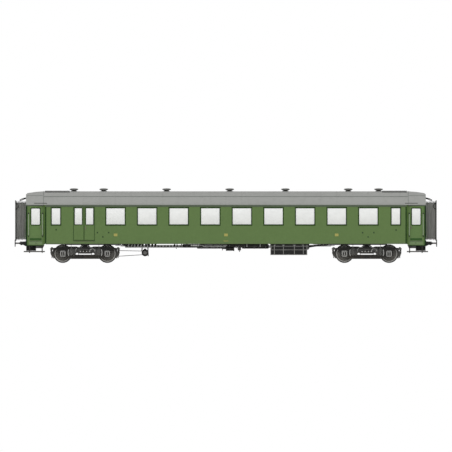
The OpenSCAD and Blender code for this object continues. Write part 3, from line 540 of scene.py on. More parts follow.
faces("side_walls", [body_green, lining], lambda c, n: 1 if (abs(c.y) < HALF_W - 0.055 and abs(n.y) > 0.7) else 0)
faces("vestibule_sides", [vest_green, lining], lambda c, n: 1 if abs(c.y) < REC_W - 0.055 and abs(n.y) > 0.5 else 0)
faces("end_walls", [body_green, lining], lambda c, n: 1 if abs(c.x) < END_X - 0.05 else 0)
faces("roof", [roof_grey, ceiling], lambda c, n: 1 if n.z < -0.05 or (Vector((0, c.y, c.z - 2.6)).dot(Vector((0, n.y, n.z))) < 0 and abs(n.x) < 0.7) else 0)
faces("cantrails", [cornice_green])
faces("roof_vents", [cast_dark, vent_cap], lambda c, n: 1 if c.z > 4.10 else 0)
faces("roof_walkways", [steel_dark])
faces("window_frames", [trim_green])
faces("window_glass", [glass_mat])
faces("partitions", [panel_wood])
faces("benches", [bench_wood])
faces("luggage_racks", [rack_metal])
faces("floor", [floor_mat, black], lambda c, n: 1 if n.z < -0.5 else 0)
for nm in ("underframe", "body_bolsters", "headstocks", "truss_beams", "battery_boxes", "dynamo"):
    faces(nm, [black])
faces("dynamo_belt", [belt_mat])
faces("air_brake_equipment", [black, black_grey], lambda c, n: 1 if 0.6 < c.x < 0.95 and c.z < 0.87 and c.y < 0 else 0)
faces("door_steps", [steel_dark])
faces("buffers", [buffer_black, buffer_face, ram_steel], lambda c, n: 1 if abs(c.x) > 11.842 else (2 if 11.6 < abs(c.x) < 11.795 and hypot(abs(c.y) - 0.875, c.z - 1.105) < 0.05 else 0))
faces("draw_hooks", [buffer_black])
faces("gangway_frames", [gang_grey])
faces("grab_rails", [rail_paint, edge_green], lambda c, n: 1 if abs(abs(c.y) - 1.355) > 0.019 else 0)
for c_, sx, sy in CORNERS:
    faces(c_ + "_door", [door_green, lining], lambda c, n: 1 if abs(c.y) < REC_W - 0.05 and abs(n.y) > 0.7 else 0)
    faces(c_ + "_door_glass", [glass_mat])
for s_, e_, sy, d in LUGGAGE:
    faces("%s_luggage_door_%s" % (s_, e_), [body_green, lining], lambda c, n: 1 if abs(c.y) < HALF_W - 0.05 and abs(n.y) > 0.7 else 0)
    faces("%s_luggage_glass_%s" % (s_, e_), [glass_mat])
for e_, sx in BOGIES:
    faces(e_ + "_gangway_door", [door_green])
    faces(e_ + "_bogie_frame", [bogie_black, box_grey], lambda c, n: 1 if abs(c.y) < 0.9735 and abs(n.y) > 0.7 else 0)
    faces(e_ + "_bogie_bolster", [black_grey])
    faces(e_ + "_bogie_springs", [spring_steel])
    faces(e_ + "_axle_boxes", [box_grey])
    faces(e_ + "_brake_gear", [black_grey])

def wheel_face(x0):
    def f(c, n):
        r = hypot(c.x - x0, c.z - AXLE_Z)
        if 0.484 < r < 0.4965 and abs(n.y) < 0.3:
            return 2
        # outer band: the flange, painted dark also as shade at the tyre edge
        if r > 0.478:
            return 3
        if r > 0.434:
            return 1
        if r > 0.396 and abs(c.y) > 0.75:
            return 4
        return 0
    return f
for w_, x0 in WHEELSETS:
    faces(w_, [wheel_dark, wheel_rim, wheel_tread, wheel_flange, wheel_shoulder], wheel_face(x0))

# ------------------------------------------------------------------ camera, light, floor

cam_data = bpy.data.cameras.new("camera")
cam = bpy.data.objects.new("camera", cam_data)
scene.collection.objects.link(cam)
cam_data.type = "ORTHO"
cam_data.ortho_scale = 25.35
cam_data.clip_start, cam_data.clip_end = 0.5, 400
cam.location = (0.006, -60, 2.07)
cam.rotation_euler = (radians(90), 0, 0)
scene.camera = cam

world = bpy.data.worlds.new("studio")
scene.world = world
world.use_nodes = True
wt = world.node_tree
wt.nodes.clear()
wo = wt.nodes.new("ShaderNodeOutputWorld")
b1, b2 = wt.nodes.new("ShaderNodeBackground"), wt.nodes.new("ShaderNodeBackground")
lp, wm = wt.nodes.new("ShaderNodeLightPath"), wt.nodes.new("ShaderNodeMixShader")
b1.inputs["Color"].default_value = (1, 1, 1, 1)
b1.inputs["Strength"].default_value = 0.72
b2.inputs["Color"].default_value = (1, 1, 1, 1)
b2.inputs["Strength"].default_value = 1.0
wt.links.new(lp.outputs["Is Camera Ray"], wm.inputs[0])
wt.links.new(b1.outputs[0], wm.inputs[1])
wt.links.new(b2.outputs[0], wm.inputs[2])
wt.links.new(wm.outputs[0], wo.inputs[0])

def sun(name, direction, energy, angle):
    ld = bpy.data.lights.new(name, "SUN")
    ld.energy, ld.angle = energy, radians(angle)
    ob = bpy.data.objects.new(name, ld)
    scene.collection.objects.link(ob)
    ob.rotation_euler = Vector(direction).to_track_quat("-Z", "Y").to_euler()
sun("key", (0.35, 0.8, -0.75), 0.70, 35)
sun("fill", (-0.35, 0.95, -0.12), 0.56, 60)
scene.view_settings.view_transform = "Standard"
scene.view_settings.look = "None"
scene.view_settings.exposure = 0
scene.view_settings.gamma = 1

fl = bpy.data.meshes.new("studio_floor")
fl.from_pydata([(-600, -600, 0), (600, -600, 0), (600, 600, 0), (-600, 600, 0)], [], [(0, 1, 2, 3)])
fo = bpy.data.objects.new("studio_floor", fl)
scene.collection.objects.link(fo)
M = Mat("studio_floor")
c = M.mix(M.noise(0.4, 3, 0.5), lin((236, 236, 235)), lin((241, 241, 240)))
M.set(color=c, rough=0.9)
fl.materials.append(M.m)
fo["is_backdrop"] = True

# ------------------------------------------------------------------ body trim

BODY = "coach_body"
RAIL_X, RAIL_Z0, RAIL_Z1 = (DOOR_X - 0.386, DOOR_X + 0.394), 1.514, 2.776

# dark strips down the corners where the full-width body ends, with a thin bead beside them; their dark green stands as
# painted shade for the shade in the corners
k = Kit()
for sx in (1, -1):
    for sy in (1, -1):
        k.box((sx * (MAIN_X - 0.046), sy * (HALF_W - 0.004), 1.068), (sx * (MAIN_X + 0.016), sy * (HALF_W + 0.010), 3.148))
        k.box((sx * (END_X - 0.060), sy * (REC_W - 0.004), 0.975), (sx * (END_X + 0.004), sy * (REC_W + 0.012), 3.178))
        k.box((sx * (MAIN_X + 0.27), sy * (REC_W - 0.004), 0.966), (sx * (END_X + 0.002), sy * (REC_W + 0.007), 0.990))
        k.prism([(sx * (MAIN_X + 0.115), 0.990), (sx * (MAIN_X + 0.150), 0.969), (sx * (MAIN_X + 0.28), 0.966), (sx * (MAIN_X + 0.28), 0.990)], "y", sy * (REC_W - 0.004), sy * (REC_W + 0.007))
piece("corner_strips", k, [edge_green], BODY, bevel=0.005, seg=2)

# round flanges at the ends of the grab rails beside the entrance doors
k = Kit()
for sx in (1, -1):
    for sy in (1, -1):
        for dx_ in RAIL_X:
            for z in (RAIL_Z0, RAIL_Z1):
                k.rev([(0.0175, 0.0), (0.040, 0.0), (0.040, 0.008), (0.026, 0.014), (0.0175, 0.014)], (sx * dx_, sy * (REC_W - 0.001), z), (0, sy, 0), 0, 28)
                k.rev([(0.0, -0.0285), (0.019, -0.0285), (0.0245, -0.023), (0.0245, 0.023), (0.019, 0.0285), (0.0, 0.0285)], (sx * dx_, sy * 1.355, z), (0, 0, 1), 0, 28)
piece("rail_flanges", k, [edge_black], BODY, bevel=0.001)

# the lower lip of the side sheets
k = Kit()
for sy in (1, -1):
    k.box((-MAIN_X + 0.04, sy * (HALF_W - 0.004), 1.066), (MAIN_X - 0.04, sy * (HALF_W + 0.005), 1.088), 0)
    # rain strip over each window row, under the gutter
    k.box((-MAIN_X + 0.04, sy * (HALF_W + 0.018), 3.150), (MAIN_X - 0.04, sy * (HALF_W + 0.0245 - 0.005), 3.158), 1)
piece("side_lips", k, [body_green, cornice_green], BODY, bevel=0.002)

# luggage door surrounds on the wall, dark green that is partly painted shade for the seam round the door
k = Kit()
for sy in (1, -1):
    x0, x1, z0, z1 = LUG_X - LUG_H, LUG_X + LUG_H, 1.25, 3.135
    ya, yb = sy * (HALF_W - 0.004), sy * (HALF_W + 0.006)
    k.wring(x0 + 0.014, x1 - 0.014, z0 + 0.014, z1 - 0.014, 0.034, ya, yb)
    # threshold
    k.box((x0, sy * (HALF_W - 0.012), z0 - 0.045), (x1, sy * (HALF_W + 0.016), z0 - 0.028), 1)
piece("luggage_door_surrounds", k, [seam_green, brass], BODY, bevel=0.003)

# entrance door surrounds, sills, kick bands under the doors, thresholds
k = Kit()
for sx in (1, -1):
    for sy in (1, -1):
        a, b = sorted((sx * (DOOR_X - DOOR_H), sx * (DOOR_X + DOOR_H)))
        ya, yb = sy * (REC_W - 0.006), sy * (REC_W + 0.008)
        # posts and head, which also stop the leaf from outside
        k.wring(a + 0.015, b - 0.015, 1.258, 3.142, 0.036, sy * (REC_W - 0.004), yb, 3)
        # sill panel below the threshold
        k.box((a - 0.02, ya, 1.03), (b + 0.02, sy * (REC_W + 0.004), 1.206), 1)
        # threshold bar
        k.box((a, sy * (REC_W - 0.012), 1.205), (b, sy * (REC_W + 0.02), 1.223), 2)
        # small catch on the sill panel
        k.cyl((sx * (DOOR_X - 0.02), sy * (REC_W - 0.002), 1.115), (sx * (DOOR_X - 0.02), sy * (REC_W + 0.014), 1.115), 0.024, 0, 16)
piece("entrance_surrounds", k, [trim_green, sill_green, ram_steel, door_green], BODY, bevel=0.003, seg=2)

# doors' own fittings: gaskets, kick bands, handles
for name, sx, sy in CORNERS:
    k = Kit()
    yo = sy * (REC_W - 0.010)
    yi = sy * (REC_W - 0.055)
    x0, x1 = sorted((sx * (DOOR_X - 0.25), sx * (DOOR_X + 0.25)))
    for y, s in ((yo, 1), (yi, -1)):
        k.wring(x0 + 0.001, x1 - 0.001, 2.135, 3.060, 0.046, y - sy * s * 0.012, y + sy * s * 0.005, 0, r=0.05)
        k.wring(x0 + 0.012, x1 - 0.012, 2.146, 3.049, 0.010, y - sy * s * 0.016, y - sy * s * 0.006, 4, r=0.045)
    # kick band with its round-headed screws; its dark green is also painted shade for the step well below the door
    a, b = sorted((sx * (DOOR_X - DOOR_H + 0.022), sx * (DOOR_X + DOOR_H - 0.022)))
    k.box((a, yo - sy * 0.002, 1.264), (b, yo + sy * 0.004, 1.391), 1)
    for i in range(8):
        x = a + 0.03 + i * (b - a - 0.06) / 7
        for z in (1.278, 1.377):
            k.rivet((x, yo + sy * 0.004, z), (0, sy, 0), 0.008, 0.004, 3)
    # lever handle with its plate, on the edge away from the hinge
    hx = sx * (DOOR_X - DOOR_H + 0.045)
    k.box((hx - 0.020, yo - sy * 0.002, 1.88), (hx + 0.020, yo + sy * 0.006, 2.09), 2)
    k.cyl((hx, yo, 2.0), (hx, yo + sy * 0.046, 2.0), 0.011, 2, 14)
    k.tube([(hx, yo + sy * 0.040, 2.0), (hx + sx * 0.03, yo + sy * 0.046, 1.998), (hx + sx * 0.08, yo + sy * 0.046, 1.99), (hx + sx * 0.115, yo + sy * 0.040, 1.984)], 0.010, 2, 10)
    k.cyl((hx, yo, 1.925), (hx, yo + sy * 0.012, 1.925), 0.012, 2, 14)
    # the same inside
    k.box((hx - 0.020, yi - sy * 0.006, 1.88), (hx + 0.020, yi + sy * 0.002, 2.09), 2)
    k.tube([(hx, yi, 2.0), (hx, yi - sy * 0.040, 2.0), (hx + sx * 0.05, yi - sy * 0.044, 1.996), (hx + sx * 0.105, yi - sy * 0.038, 1.99)], 0.009, 2, 10)
    # pressed panel below the window
    k.wring(a + 0.07, b - 0.07, 1.46, 2.02, 0.016, yo - sy * 0.002, yo + sy * 0.0035, 3)
    piece(name + "_door_fittings", k, [trim_green, kick_green, brass, door_green, rubber], name + "_entrance", bevel=0.0025, seg=2)

for s_, e_, sy, d in LUGGAGE:
    k = Kit()
    cx = LUG_X + d * 0.316
    yo, yi = sy * (HALF_W - 0.010), sy * (HALF_W - 0.055)
    for y, s in ((yo, 1), (yi, -1)):
        k.wring(cx - 0.210, cx + 0.210, WIN_Z0 + 0.001, WIN_Z1 - 0.001, 0.036, y - sy * s * 0.012, y + sy * s * 0.007, 0, r=0.012)
        k.wring(cx - 0.199, cx + 0.199, WIN_Z0 + 0.012, WIN_Z1 - 0.012, 0.010, y - sy * s * 0.016, y - sy * s * 0.006, 2, r=0.01)
    a, b = sorted((LUG_X + d * 0.012, LUG_X + d * (LUG_H - 0.024)))
    # lower edge strip, dark green as painted shade of the seam
    k.box((a, yo - sy * 0.002, 1.268), (b, yo + sy * 0.004, 1.292), 1)
    # half of the cover strip on each leaf, outside and inside, with 6 mm between them; dark green that is partly
    # painted shade of the seam
    k.box((LUG_X + d * 0.003, yo - sy * 0.006, 1.270), (LUG_X + d * 0.026, yo + sy * 0.006, 3.118), 1)
    k.box((LUG_X + d * 0.003, yi - sy * 0.008, 1.270), (LUG_X + d * 0.022, yi + sy * 0.006, 3.118), 1)
    if d > 0:
        # recessed turning handle
        k.box((LUG_X + 0.050, yo - sy * 0.002, 1.86), (LUG_X + 0.100, yo + sy * 0.006, 2.02), 3)
        k.cyl((LUG_X + 0.075, yo, 1.94), (LUG_X + 0.075, yo + sy * 0.020, 1.94), 0.011, 3, 14)
        k.tube([(LUG_X + 0.075, yo + sy * 0.017, 1.94), (LUG_X + 0.075, yo + sy * 0.018, 1.90), (LUG_X + 0.075, yo + sy * 0.017, 1.855)], 0.008, 3, 10)
    piece("%s_luggage_fittings_%s" % (s_, e_), k, [trim_green, seam_green, rubber, brass], "%s_luggage_leaf_%s" % (s_, e_), bevel=0.0025, seg=2)

# window gaskets and the aluminium drop-light frames in every side window
k = Kit()
for sy in (1, -1):
    for cx, w in [(x, WIN_W) for x in SALOON] + [(SMALL_X, SMALL_W), (-SMALL_X, SMALL_W)]:
        x0, x1 = cx - w / 2, cx + w / 2
        yo = sy * (HALF_W - 0.024)
        k.wring(x0 + 0.014, x1 - 0.014, WIN_Z0 + 0.014, WIN_Z1 - 0.014, 0.0135, yo, yo + sy * 0.012, 0, r=0.02)
        k.wring(x0 + 0.016, x1 - 0.016, WIN_Z0 + 0.016, WIN_Z1 - 0.016, 0.0155, yo - sy * 0.008, yo - sy * 0.020, 1, r=0.02)
        # drip moulding on the frame's head and the sill below it
        k.box((x0 - WIN_F - 0.012, sy * (HALF_W + 0.002), WIN_Z1 + WIN_F - 0.004), (x1 + WIN_F + 0.012, sy * (HALF_W + 0.0165), WIN_Z1 + WIN_F + 0.010), 0)
        k.box((x0 - WIN_F - 0.008, sy * (HALF_W + 0.002), WIN_Z0 - WIN_F - 0.010), (x1 + WIN_F + 0.008, sy * (HALF_W + 0.0185), WIN_Z0 - WIN_F + 0.006), 0)
        # the two lifting handles on the inside
        for d in (-1, 1):
            xx = cx + d * min(0.28, w * 0.3)
            k.box((xx - 0.05, yo - sy * 0.021, WIN_Z1 - 0.055), (xx + 0.05, yo - sy * 0.034, WIN_Z1 - 0.030), 1)
piece("window_inner_frames", k, [trim_green, alu], BODY, bevel=0.003, seg=2)

# small brackets and blank plates on the side sheets
k = Kit()
BRACKETS = [(-7.207, 1.699), (-6.573, 1.699), (-6.899, 1.458), (-9.518, 1.862), (7.667, 1.699), (8.301, 1.699), (7.975, 1.458), (9.546, 1.845)]
for x, z in BRACKETS:
    for sy in (1, -1):
        y = sy * HALF_W
        k.box((x - 0.034, y - sy * 0.003, z - 0.040), (x + 0.034, y + sy * 0.006, z + 0.040), 0)
        k.box((x - 0.022, y, z - 0.026), (x + 0.022, y + sy * 0.018, z + 0.022), 1)
        for dz in (-0.033, 0.031):
            k.rivet((x, y + sy * 0.006, z + dz), (0, sy, 0), 0.005, 0.004, 0)
for x in (-6.186, 0.006, 6.214):
    for sy in (1, -1):
        y = sy * HALF_W
        k.box((x - 0.100, y - sy * 0.003, 1.495), (x + 0.100, y + sy * 0.006, 1.645), 2)
        for ddx in (-0.086, 0.086):
            for ddz in (-0.053, 0.053):
                k.rivet((x + ddx, y + sy * 0.006, 1.57 + ddz), (0, sy, 0), 0.006, 0.003, 2)
for sy in (1, -1):
    k.box((-0.13, sy * (HALF_W - 0.003), 1.21), (0.14, sy * (HALF_W + 0.005), 1.245), 2)
piece("side_plates", k, [kick_green, edge_black, yellow], BODY, bevel=0.0015)

# ------------------------------------------------------------------ roof

ROOF_SLICES = [(10.242, 1.45, 0.765), (10.665, 1.388, 0.735), (11.121, 1.312, 0.667), (11.211, 1.288, 0.590)]

def roof_size(x):
    x = abs(x)
    if x <= ROOF_SLICES[0][0]:
        return ROOF_SLICES[0][1:]
    for (xa, wa, ha), (xb, wb, hb) in zip(ROOF_SLICES, ROOF_SLICES[1:]):
        if x <= xb:
            t = (x - xa) / (xb - xa)
            return wa + (wb - wa) * t, ha + (hb - ha) * t
    return ROOF_SLICES[-1][1:]

def roof_pt(x, a, off=0.0):
    """Point on the roof at angle a degrees from the left eaves, raised by off."""
    hw, h = roof_size(x)
    c, s = cos(radians(a)), sin(radians(a))
    y, z = hw * math.copysign(abs(c) ** (2 / 2.25), c), EAVES + h * abs(s) ** (2 / 2.25)
    n = Vector((0, y / hw ** 2, (z - EAVES) / h ** 2 + 1e-6)).normalized()
    return Vector((x, y, z)) + n * off, n

def roof_angle(x, z):
    hw, h = roof_size(x)
    return math.degrees(math.asin(min(1.0, ((z - EAVES) / h) ** (2.25 / 2))))

def strip(k, path, half_w, t, m=0):
    """A flat strip along path: list of (point, normal); half_w sideways, t thick, sunk 3 mm."""
    vs = []
    n = len(path)
    for i, (p, nn) in enumerate(path):
        d = (path[min(i + 1, n - 1)][0] - path[max(i - 1, 0)][0]).normalized()
        side = d.cross(nn).normalized() * half_w
        for s, hgt in ((-1, -0.003), (1, -0.003), (1, t), (-1, t)):
            vs.append(p + side * s + nn * hgt)
    fs = []
    for i in range(n - 1):
        a, b = 4 * i, 4 * i + 4
        fs += [(a + j, a + (j + 1) % 4, b + (j + 1) % 4, b + j) for j in range(4)]
    fs += [(3, 2, 1, 0), tuple(4 * (n - 1) + j for j in range(4))]
    k.add(vs, fs, m)

k = Kit()
for side in (1, -1):
    def ang(x, z, side=side):
        a = roof_angle(x, z)
        return a if side > 0 else 180 - a
    # long seam covers, one step higher on the drawn-in ends
    xs = [-10.20 + 20.40 * i / 40 for i in range(41)]
    strip(k, [roof_pt(x, ang(x, 3.724)) for x in xs], 0.024, 0.010)
    for sx in (1, -1):
        xe = [10.27 + (11.18 - 10.27) * i / 14 for i in range(15)]
        strip(k, [roof_pt(sx * x, ang(x, 3.776)) for x in xe], 0.017, 0.008)
        # short rain gutters over the entrance doors
        xg = [10.04 + 0.72 * i / 8 for i in range(9)]
        strip(k, [roof_pt(sx * x, ang(x, 3.345)) for x in xg], 0.016, 0.020, 1)
        # foot battens beside the roof walkways, dark as painted shade of the walkway on the roof
        xb = [8.762 + 1.386 * i / 6 for i in range(7)]
        strip(k, [roof_pt(sx * x, ang(x, 3.959)) for x in xb], 0.040, 0.023, 1)
for sx in (1, -1):
    strip(k, [roof_pt(sx * 10.226, 1.5 + 177 * i / 60) for i in range(61)], 0.014, 0.008)
piece("roof_seam_covers", k, [roof_seam, cast_dark], BODY, bevel=0.003)

k = Kit()
for i in range(-11, 12):
    x = i * 0.88625
    if abs(x) > 10.1:
        continue
    strip(k, [roof_pt(x, 2.0 + 176 * j / 48) for j in range(49)], 0.007, 0.0035)
piece("roof_sheet_laps", k, [roof_grey], BODY)

VENTS = [-8.52, -6.85, -3.326, 0.213, 3.337, 6.86, 8.56]
top = EAVES + RISE
k = Kit()
for x in VENTS:
    k.rev([(0.100, -0.004), (0.176, -0.004), (0.176, 0.010), (0.168, 0.016), (0.126, 0.018), (0.100, 0.016)], (x, 0, top), (0, 0, 1), 0, 36)
    for i in range(8):
        a = radians(22.5 + 45 * i)
        k.bolt((x + 0.150 * cos(a), 0.150 * sin(a), top + 0.015), (0, 0, 1), 0.010, 0.008, 1)
    for i in range(16):
        a = radians(22.5 * i)
        c_, s_ = cos(a), sin(a)
        P = [(x + r * c_, r * s_, top + z) for r, z in ((0.108, 0.030), (0.126, 0.034), (0.205, 0.078), (0.108, 0.072))]
        q = Vector((-s_, c_, 0)) * 0.003
        vs = [Vector(p) + q for p in P] + [Vector(p) - q for p in P]
        k.add(vs, [(0, 1, 2, 3), (7, 6, 5, 4), (0, 4, 5, 1), (1, 5, 6, 2), (2, 6, 7, 3), (3, 7, 4, 0)], 0)
    # rolled rim of the cap and its crown nut
    k.torus((x, 0, top + 0.112), (0, 0, 1), 0.2445, 0.0052, 1, 48, 8)
    k.rev([(0, 0.160), (0.022, 0.160), (0.022, 0.1705), (0, 0.1715)], (x, 0, top), (0, 0, 1), 1, 6)
piece("vent_fittings", k, [cast_dark, vent_cap], BODY, bevel=0.001)

# boarded walkways on the roof ends
k = Kit()
for sx in (1, -1):
    for i, y in enumerate((-0.1578, -0.0526, 0.0526, 0.1578)):
        k.box((sx * 8.762, y - 0.0465, top + 0.0165), (sx * 10.148, y + 0.0465, top + 0.0338), 0)
    for x in (8.86, 9.23, 9.60, 10.05):
        k.box((sx * x, -0.19, top - 0.004), (sx * (x + 0.045), 0.19, top + 0.017), 1)
        for y in (-0.1578, -0.0526, 0.0526, 0.1578):
            k.rivet((sx * (x + 0.0225), y, top + 0.0338), (0, 0, 1), 0.008, 0.003, 1)
    for y in (-0.2085, 0.2085):
        k.box((sx * 8.762, y - 0.0014, top - 0.006), (sx * 10.148, y + 0.0014, top + 0.0338), 1)
    k.prism([(sx * 8.775, top + 0.031), (sx * 8.722, top + 0.004), (sx * 8.716, top - 0.006), (sx * 8.729, top - 0.006), (sx * 8.782, top + 0.018)], "y", -0.19, 0.19, 1)
piece("walkway_boards", k, [walk_wood, edge_black], BODY, bevel=0.002, replaces=("roof_walkways",))

# ------------------------------------------------------------------ gangways

def portal_loop(w, z0, z1, rt, rb, n=7):
    pts = []
    for cy, cz, r, s in ((w - rb, z0 + rb, rb, -90), (w - rt, z1 - rt, rt, 0), (-w + rt, z1 - rt, rt, 90), (-w + rb, z0 + rb, rb, 180)):
        for i in range(n + 1):
            t = radians(s + 90 * i / n)
            pts.append((cy + r * cos(t), cz + r * sin(t)))
    # points along the straight sides so that the cloth can wander a little
    out = []
    for i, p in enumerate(pts):
        q = pts[(i + 1) % len(pts)]
        out.append(p)
        if i % (n + 1) == n:
            m_ = (13, 6)[(i // (n + 1)) % 2]
            for j in range(1, m_ + 1):
                f = j / (m_ + 1)
                out.append((p[0] + (q[0] - p[0]) * f, p[1] + (q[1] - p[1]) * f))
    return out

FOLDS, DEPTH = 7, 0.088
for e_, sx in BOGIES:
    k = Kit()
    x0, x1 = 11.203, 11.757
    rings = []
    S = 10
    for i in range(FOLDS * S + 1):
        t = i / (FOLDS * S)
        ph = (t * FOLDS) % 1.0
        u = 0.5 - 0.5 * cos(2 * pi * ph)
        e = DEPTH * (1 - u ** 1.35)
        if i in (0, FOLDS * S):
            e = DEPTH * 0.55
        rings.append((x0 + (x1 - x0) * t, e))
    vs, fs = [], []
    base = portal_loop(0.559, 1.273, 3.454, 0.105, 0.06)
    nb = len(base)
    cen = (0, 2.36)
    def ring(x, e):
        L = portal_loop(0.559 - e, 1.273 + e, 3.454 - e, max(0.105 - e * 0.5, 0.02), max(0.06 - e * 0.5, 0.01))
        out = []
        for j, (y, z) in enumerate(L):
            w = 0.0022 * sin(7 * z + 11 * x + 3 * y) + 0.0016 * sin(23 * z - 31 * x)
            wx = 0.0045 * sin(3.1 * z + 9 * y + 1.7 * (x - x0) * 12)
            edge = min(1.0, (x - x0) / 0.05, (x1 - x) / 0.05)
            yy = y - math.copysign(abs(w), y) * (1 if abs(y) > 0.3 else 0)
            out.append((sx * (x + wx * max(0, edge)), yy, z))
        return out
    outer = [ring(x, e) for x, e in rings]
    inner = [ring(x, e + 0.006) for x, e in rings]
    R = len(rings)
    for L in outer + inner:
        vs += L
    nb = len(outer[0])
    for i in range(R - 1):
        for j in range(nb):
            j2 = (j + 1) % nb
            fs.append((i * nb + j, i * nb + j2, (i + 1) * nb + j2, (i + 1) * nb + j))
            o = R * nb
            fs.append((o + i * nb + j, o + (i + 1) * nb + j, o + (i + 1) * nb + j2, o + i * nb + j2))
    for i in (0, R - 1):
        for j in range(nb):
            j2 = (j + 1) % nb
            fs.append((i * nb + j, i * nb + j2, R * nb + i * nb + j2, R * nb + i * nb + j))
    k.add(vs, fs, 0)
    cloth = piece(e_ + "_bellows", k, [bellows_mat], BODY, angle=50, replaces=("gangway_bellows",) if e_ == "front" else ())

k = Kit()
for sx in (1, -1):
    # clamping frame against the end wall and behind the end frame, with its bolts
    for xa, xb in ((11.198, 11.212), (11.748, 11.762)):
        def loop(w, z0, z1, c):
            return [(-w, z0), (w, z0), (w, z1 - c), (w - c, z1), (-w + c, z1), (-w, z1 - c)]
        A, B = loop(0.574, 1.260, 3.468, 0.10), loop(0.520, 1.314, 3.414, 0.08)
        vs = [(sx * x, y, z) for x in (xa, xb) for L in (A, B) for y, z in L]
        fs = []
        for i in range(6):
            j = (i + 1) % 6
            fs += [(i, j, 6 + j, 6 + i), (12 + i, 18 + i, 18 + j, 12 + j), (i, 12 + i, 12 + j, j), (6 + i, 6 + j, 18 + j, 18 + i)]
        k.add(vs, fs, 0)
    for z in [1.40 + 0.21 * i for i in range(10)]:
        for sy in (1, -1):
            k.bolt((sx * 11.212, sy * 0.547, z), (sx, 0, 0), 0.013, 0.010, 1)
            k.bolt((sx * 11.8205, sy * 0.505, z), (sx, 0, 0), 0.012, 0.0012, 1)
    for sy in (1, -1):
        # draw-bars at the sides: latch hooks and their handles
        y0 = sy * 0.592
        k.box((sx * 11.764, sy * 0.586, 2.985), (sx * 11.812, sy * 0.603, 3.075), 1)
        k.box((sx * 11.764, sy * 0.586, 3.300), (sx * 11.812, sy * 0.603, 3.400), 1)
        k.tube([(sx * 11.79, sy * 0.603, 3.03), (sx * 11.735, sy * 0.640, 3.035), (sx * 11.66, sy * 0.655, 3.08), (sx * 11.635, sy * 0.655, 3.16),
                (sx * 11.655, sy * 0.652, 3.26), (sx * 11.72, sy * 0.645, 3.34), (sx * 11.78, sy * 0.625, 3.36), (sx * 11.79, sy * 0.600, 3.35)], 0.018, 3, 10)
        k.cyl((sx * 11.79, sy * 0.598, 3.35), (sx * 11.79, sy * 0.634, 3.35), 0.026, 1, 18)
        k.cyl((sx * 11.79, sy * 0.598, 3.03), (sx * 11.79, sy * 0.628, 3.03), 0.024, 1, 18)
        # lower clamp, its handle in light grey as a painted highlight
        k.box((sx * 11.764, sy * 0.586, 1.42), (sx * 11.812, sy * 0.603, 1.52), 1)
        k.tube([(sx * 11.79, sy * 0.600, 1.47), (sx * 11.74, sy * 0.63, 1.47), (sx * 11.68, sy * 0.635, 1.44), (sx * 11.66, sy * 0.635, 1.39)], 0.012, 2, 10)
        # sprung arm that carries the bellows from the roof end
        k.tube([(sx * 11.207, sy * 0.26, 3.648), (sx * 11.30, sy * 0.26, 3.634), (sx * 11.44, sy * 0.26, 3.590), (sx * 11.545, sy * 0.26, 3.534), (sx * 11.560, sy * 0.26, 3.520)], 0.01, 3, flat=(0.030, 0.022, (0, 0, 1)))
        k.box((sx * 11.199, sy * 0.20, 3.60), (sx * 11.214, sy * 0.32, 3.69), 1)
        for dz in (0.022, 0.068):
            k.bolt((sx * 11.214, sy * 0.23, 3.60 + dz), (sx, 0, 0), 0.010, 0.008, 1)
            k.bolt((sx * 11.214, sy * 0.29, 3.60 + dz), (sx, 0, 0), 0.010, 0.008, 1)
        k.tube([(sx * 11.552, sy * 0.26, 3.54), (sx * 11.552, sy * 0.26, 3.455)], 0.008, 1, 10)
        k.box((sx * 11.535, sy * 0.21, 3.444), (sx * 11.570, sy * 0.31, 3.458), 1)
    k.cyl((sx * 11.555, -0.30, 3.530), (sx * 11.555, 0.30, 3.530), 0.012, 1, 14)
    k.prism([(sx * 11.202, 3.645), (sx * 11.202, 3.590), (sx * 11.30, 3.560), (sx * 11.545, 3.462), (sx * 11.572, 3.462), (sx * 11.572, 3.486), (sx * 11.31, 3.610)], "y", -0.40, 0.40, 3)
    for yy in (-0.36, -0.12, 0.12, 0.36):
        k.rivet((sx * 11.25, yy, 3.628), (sx * 0.3, 0, 0.95), 0.010, 0.006, 1)
    # hood strip over the top of the bellows
    k.box((sx * 11.205, -0.40, 3.452), (sx * 11.755, 0.40, 3.460), 1)
    # footplate ribs
    for i in range(9):
        yy = -0.30 + 0.075 * i
        k.box((sx * 11.215, yy - 0.008, 1.3375), (sx * 11.765, yy + 0.008, 1.3405), 1)
piece("gangway_fittings", k, [gang_grey, gang_dark, light_line, edge_black], BODY, bevel=0.0025, seg=2)

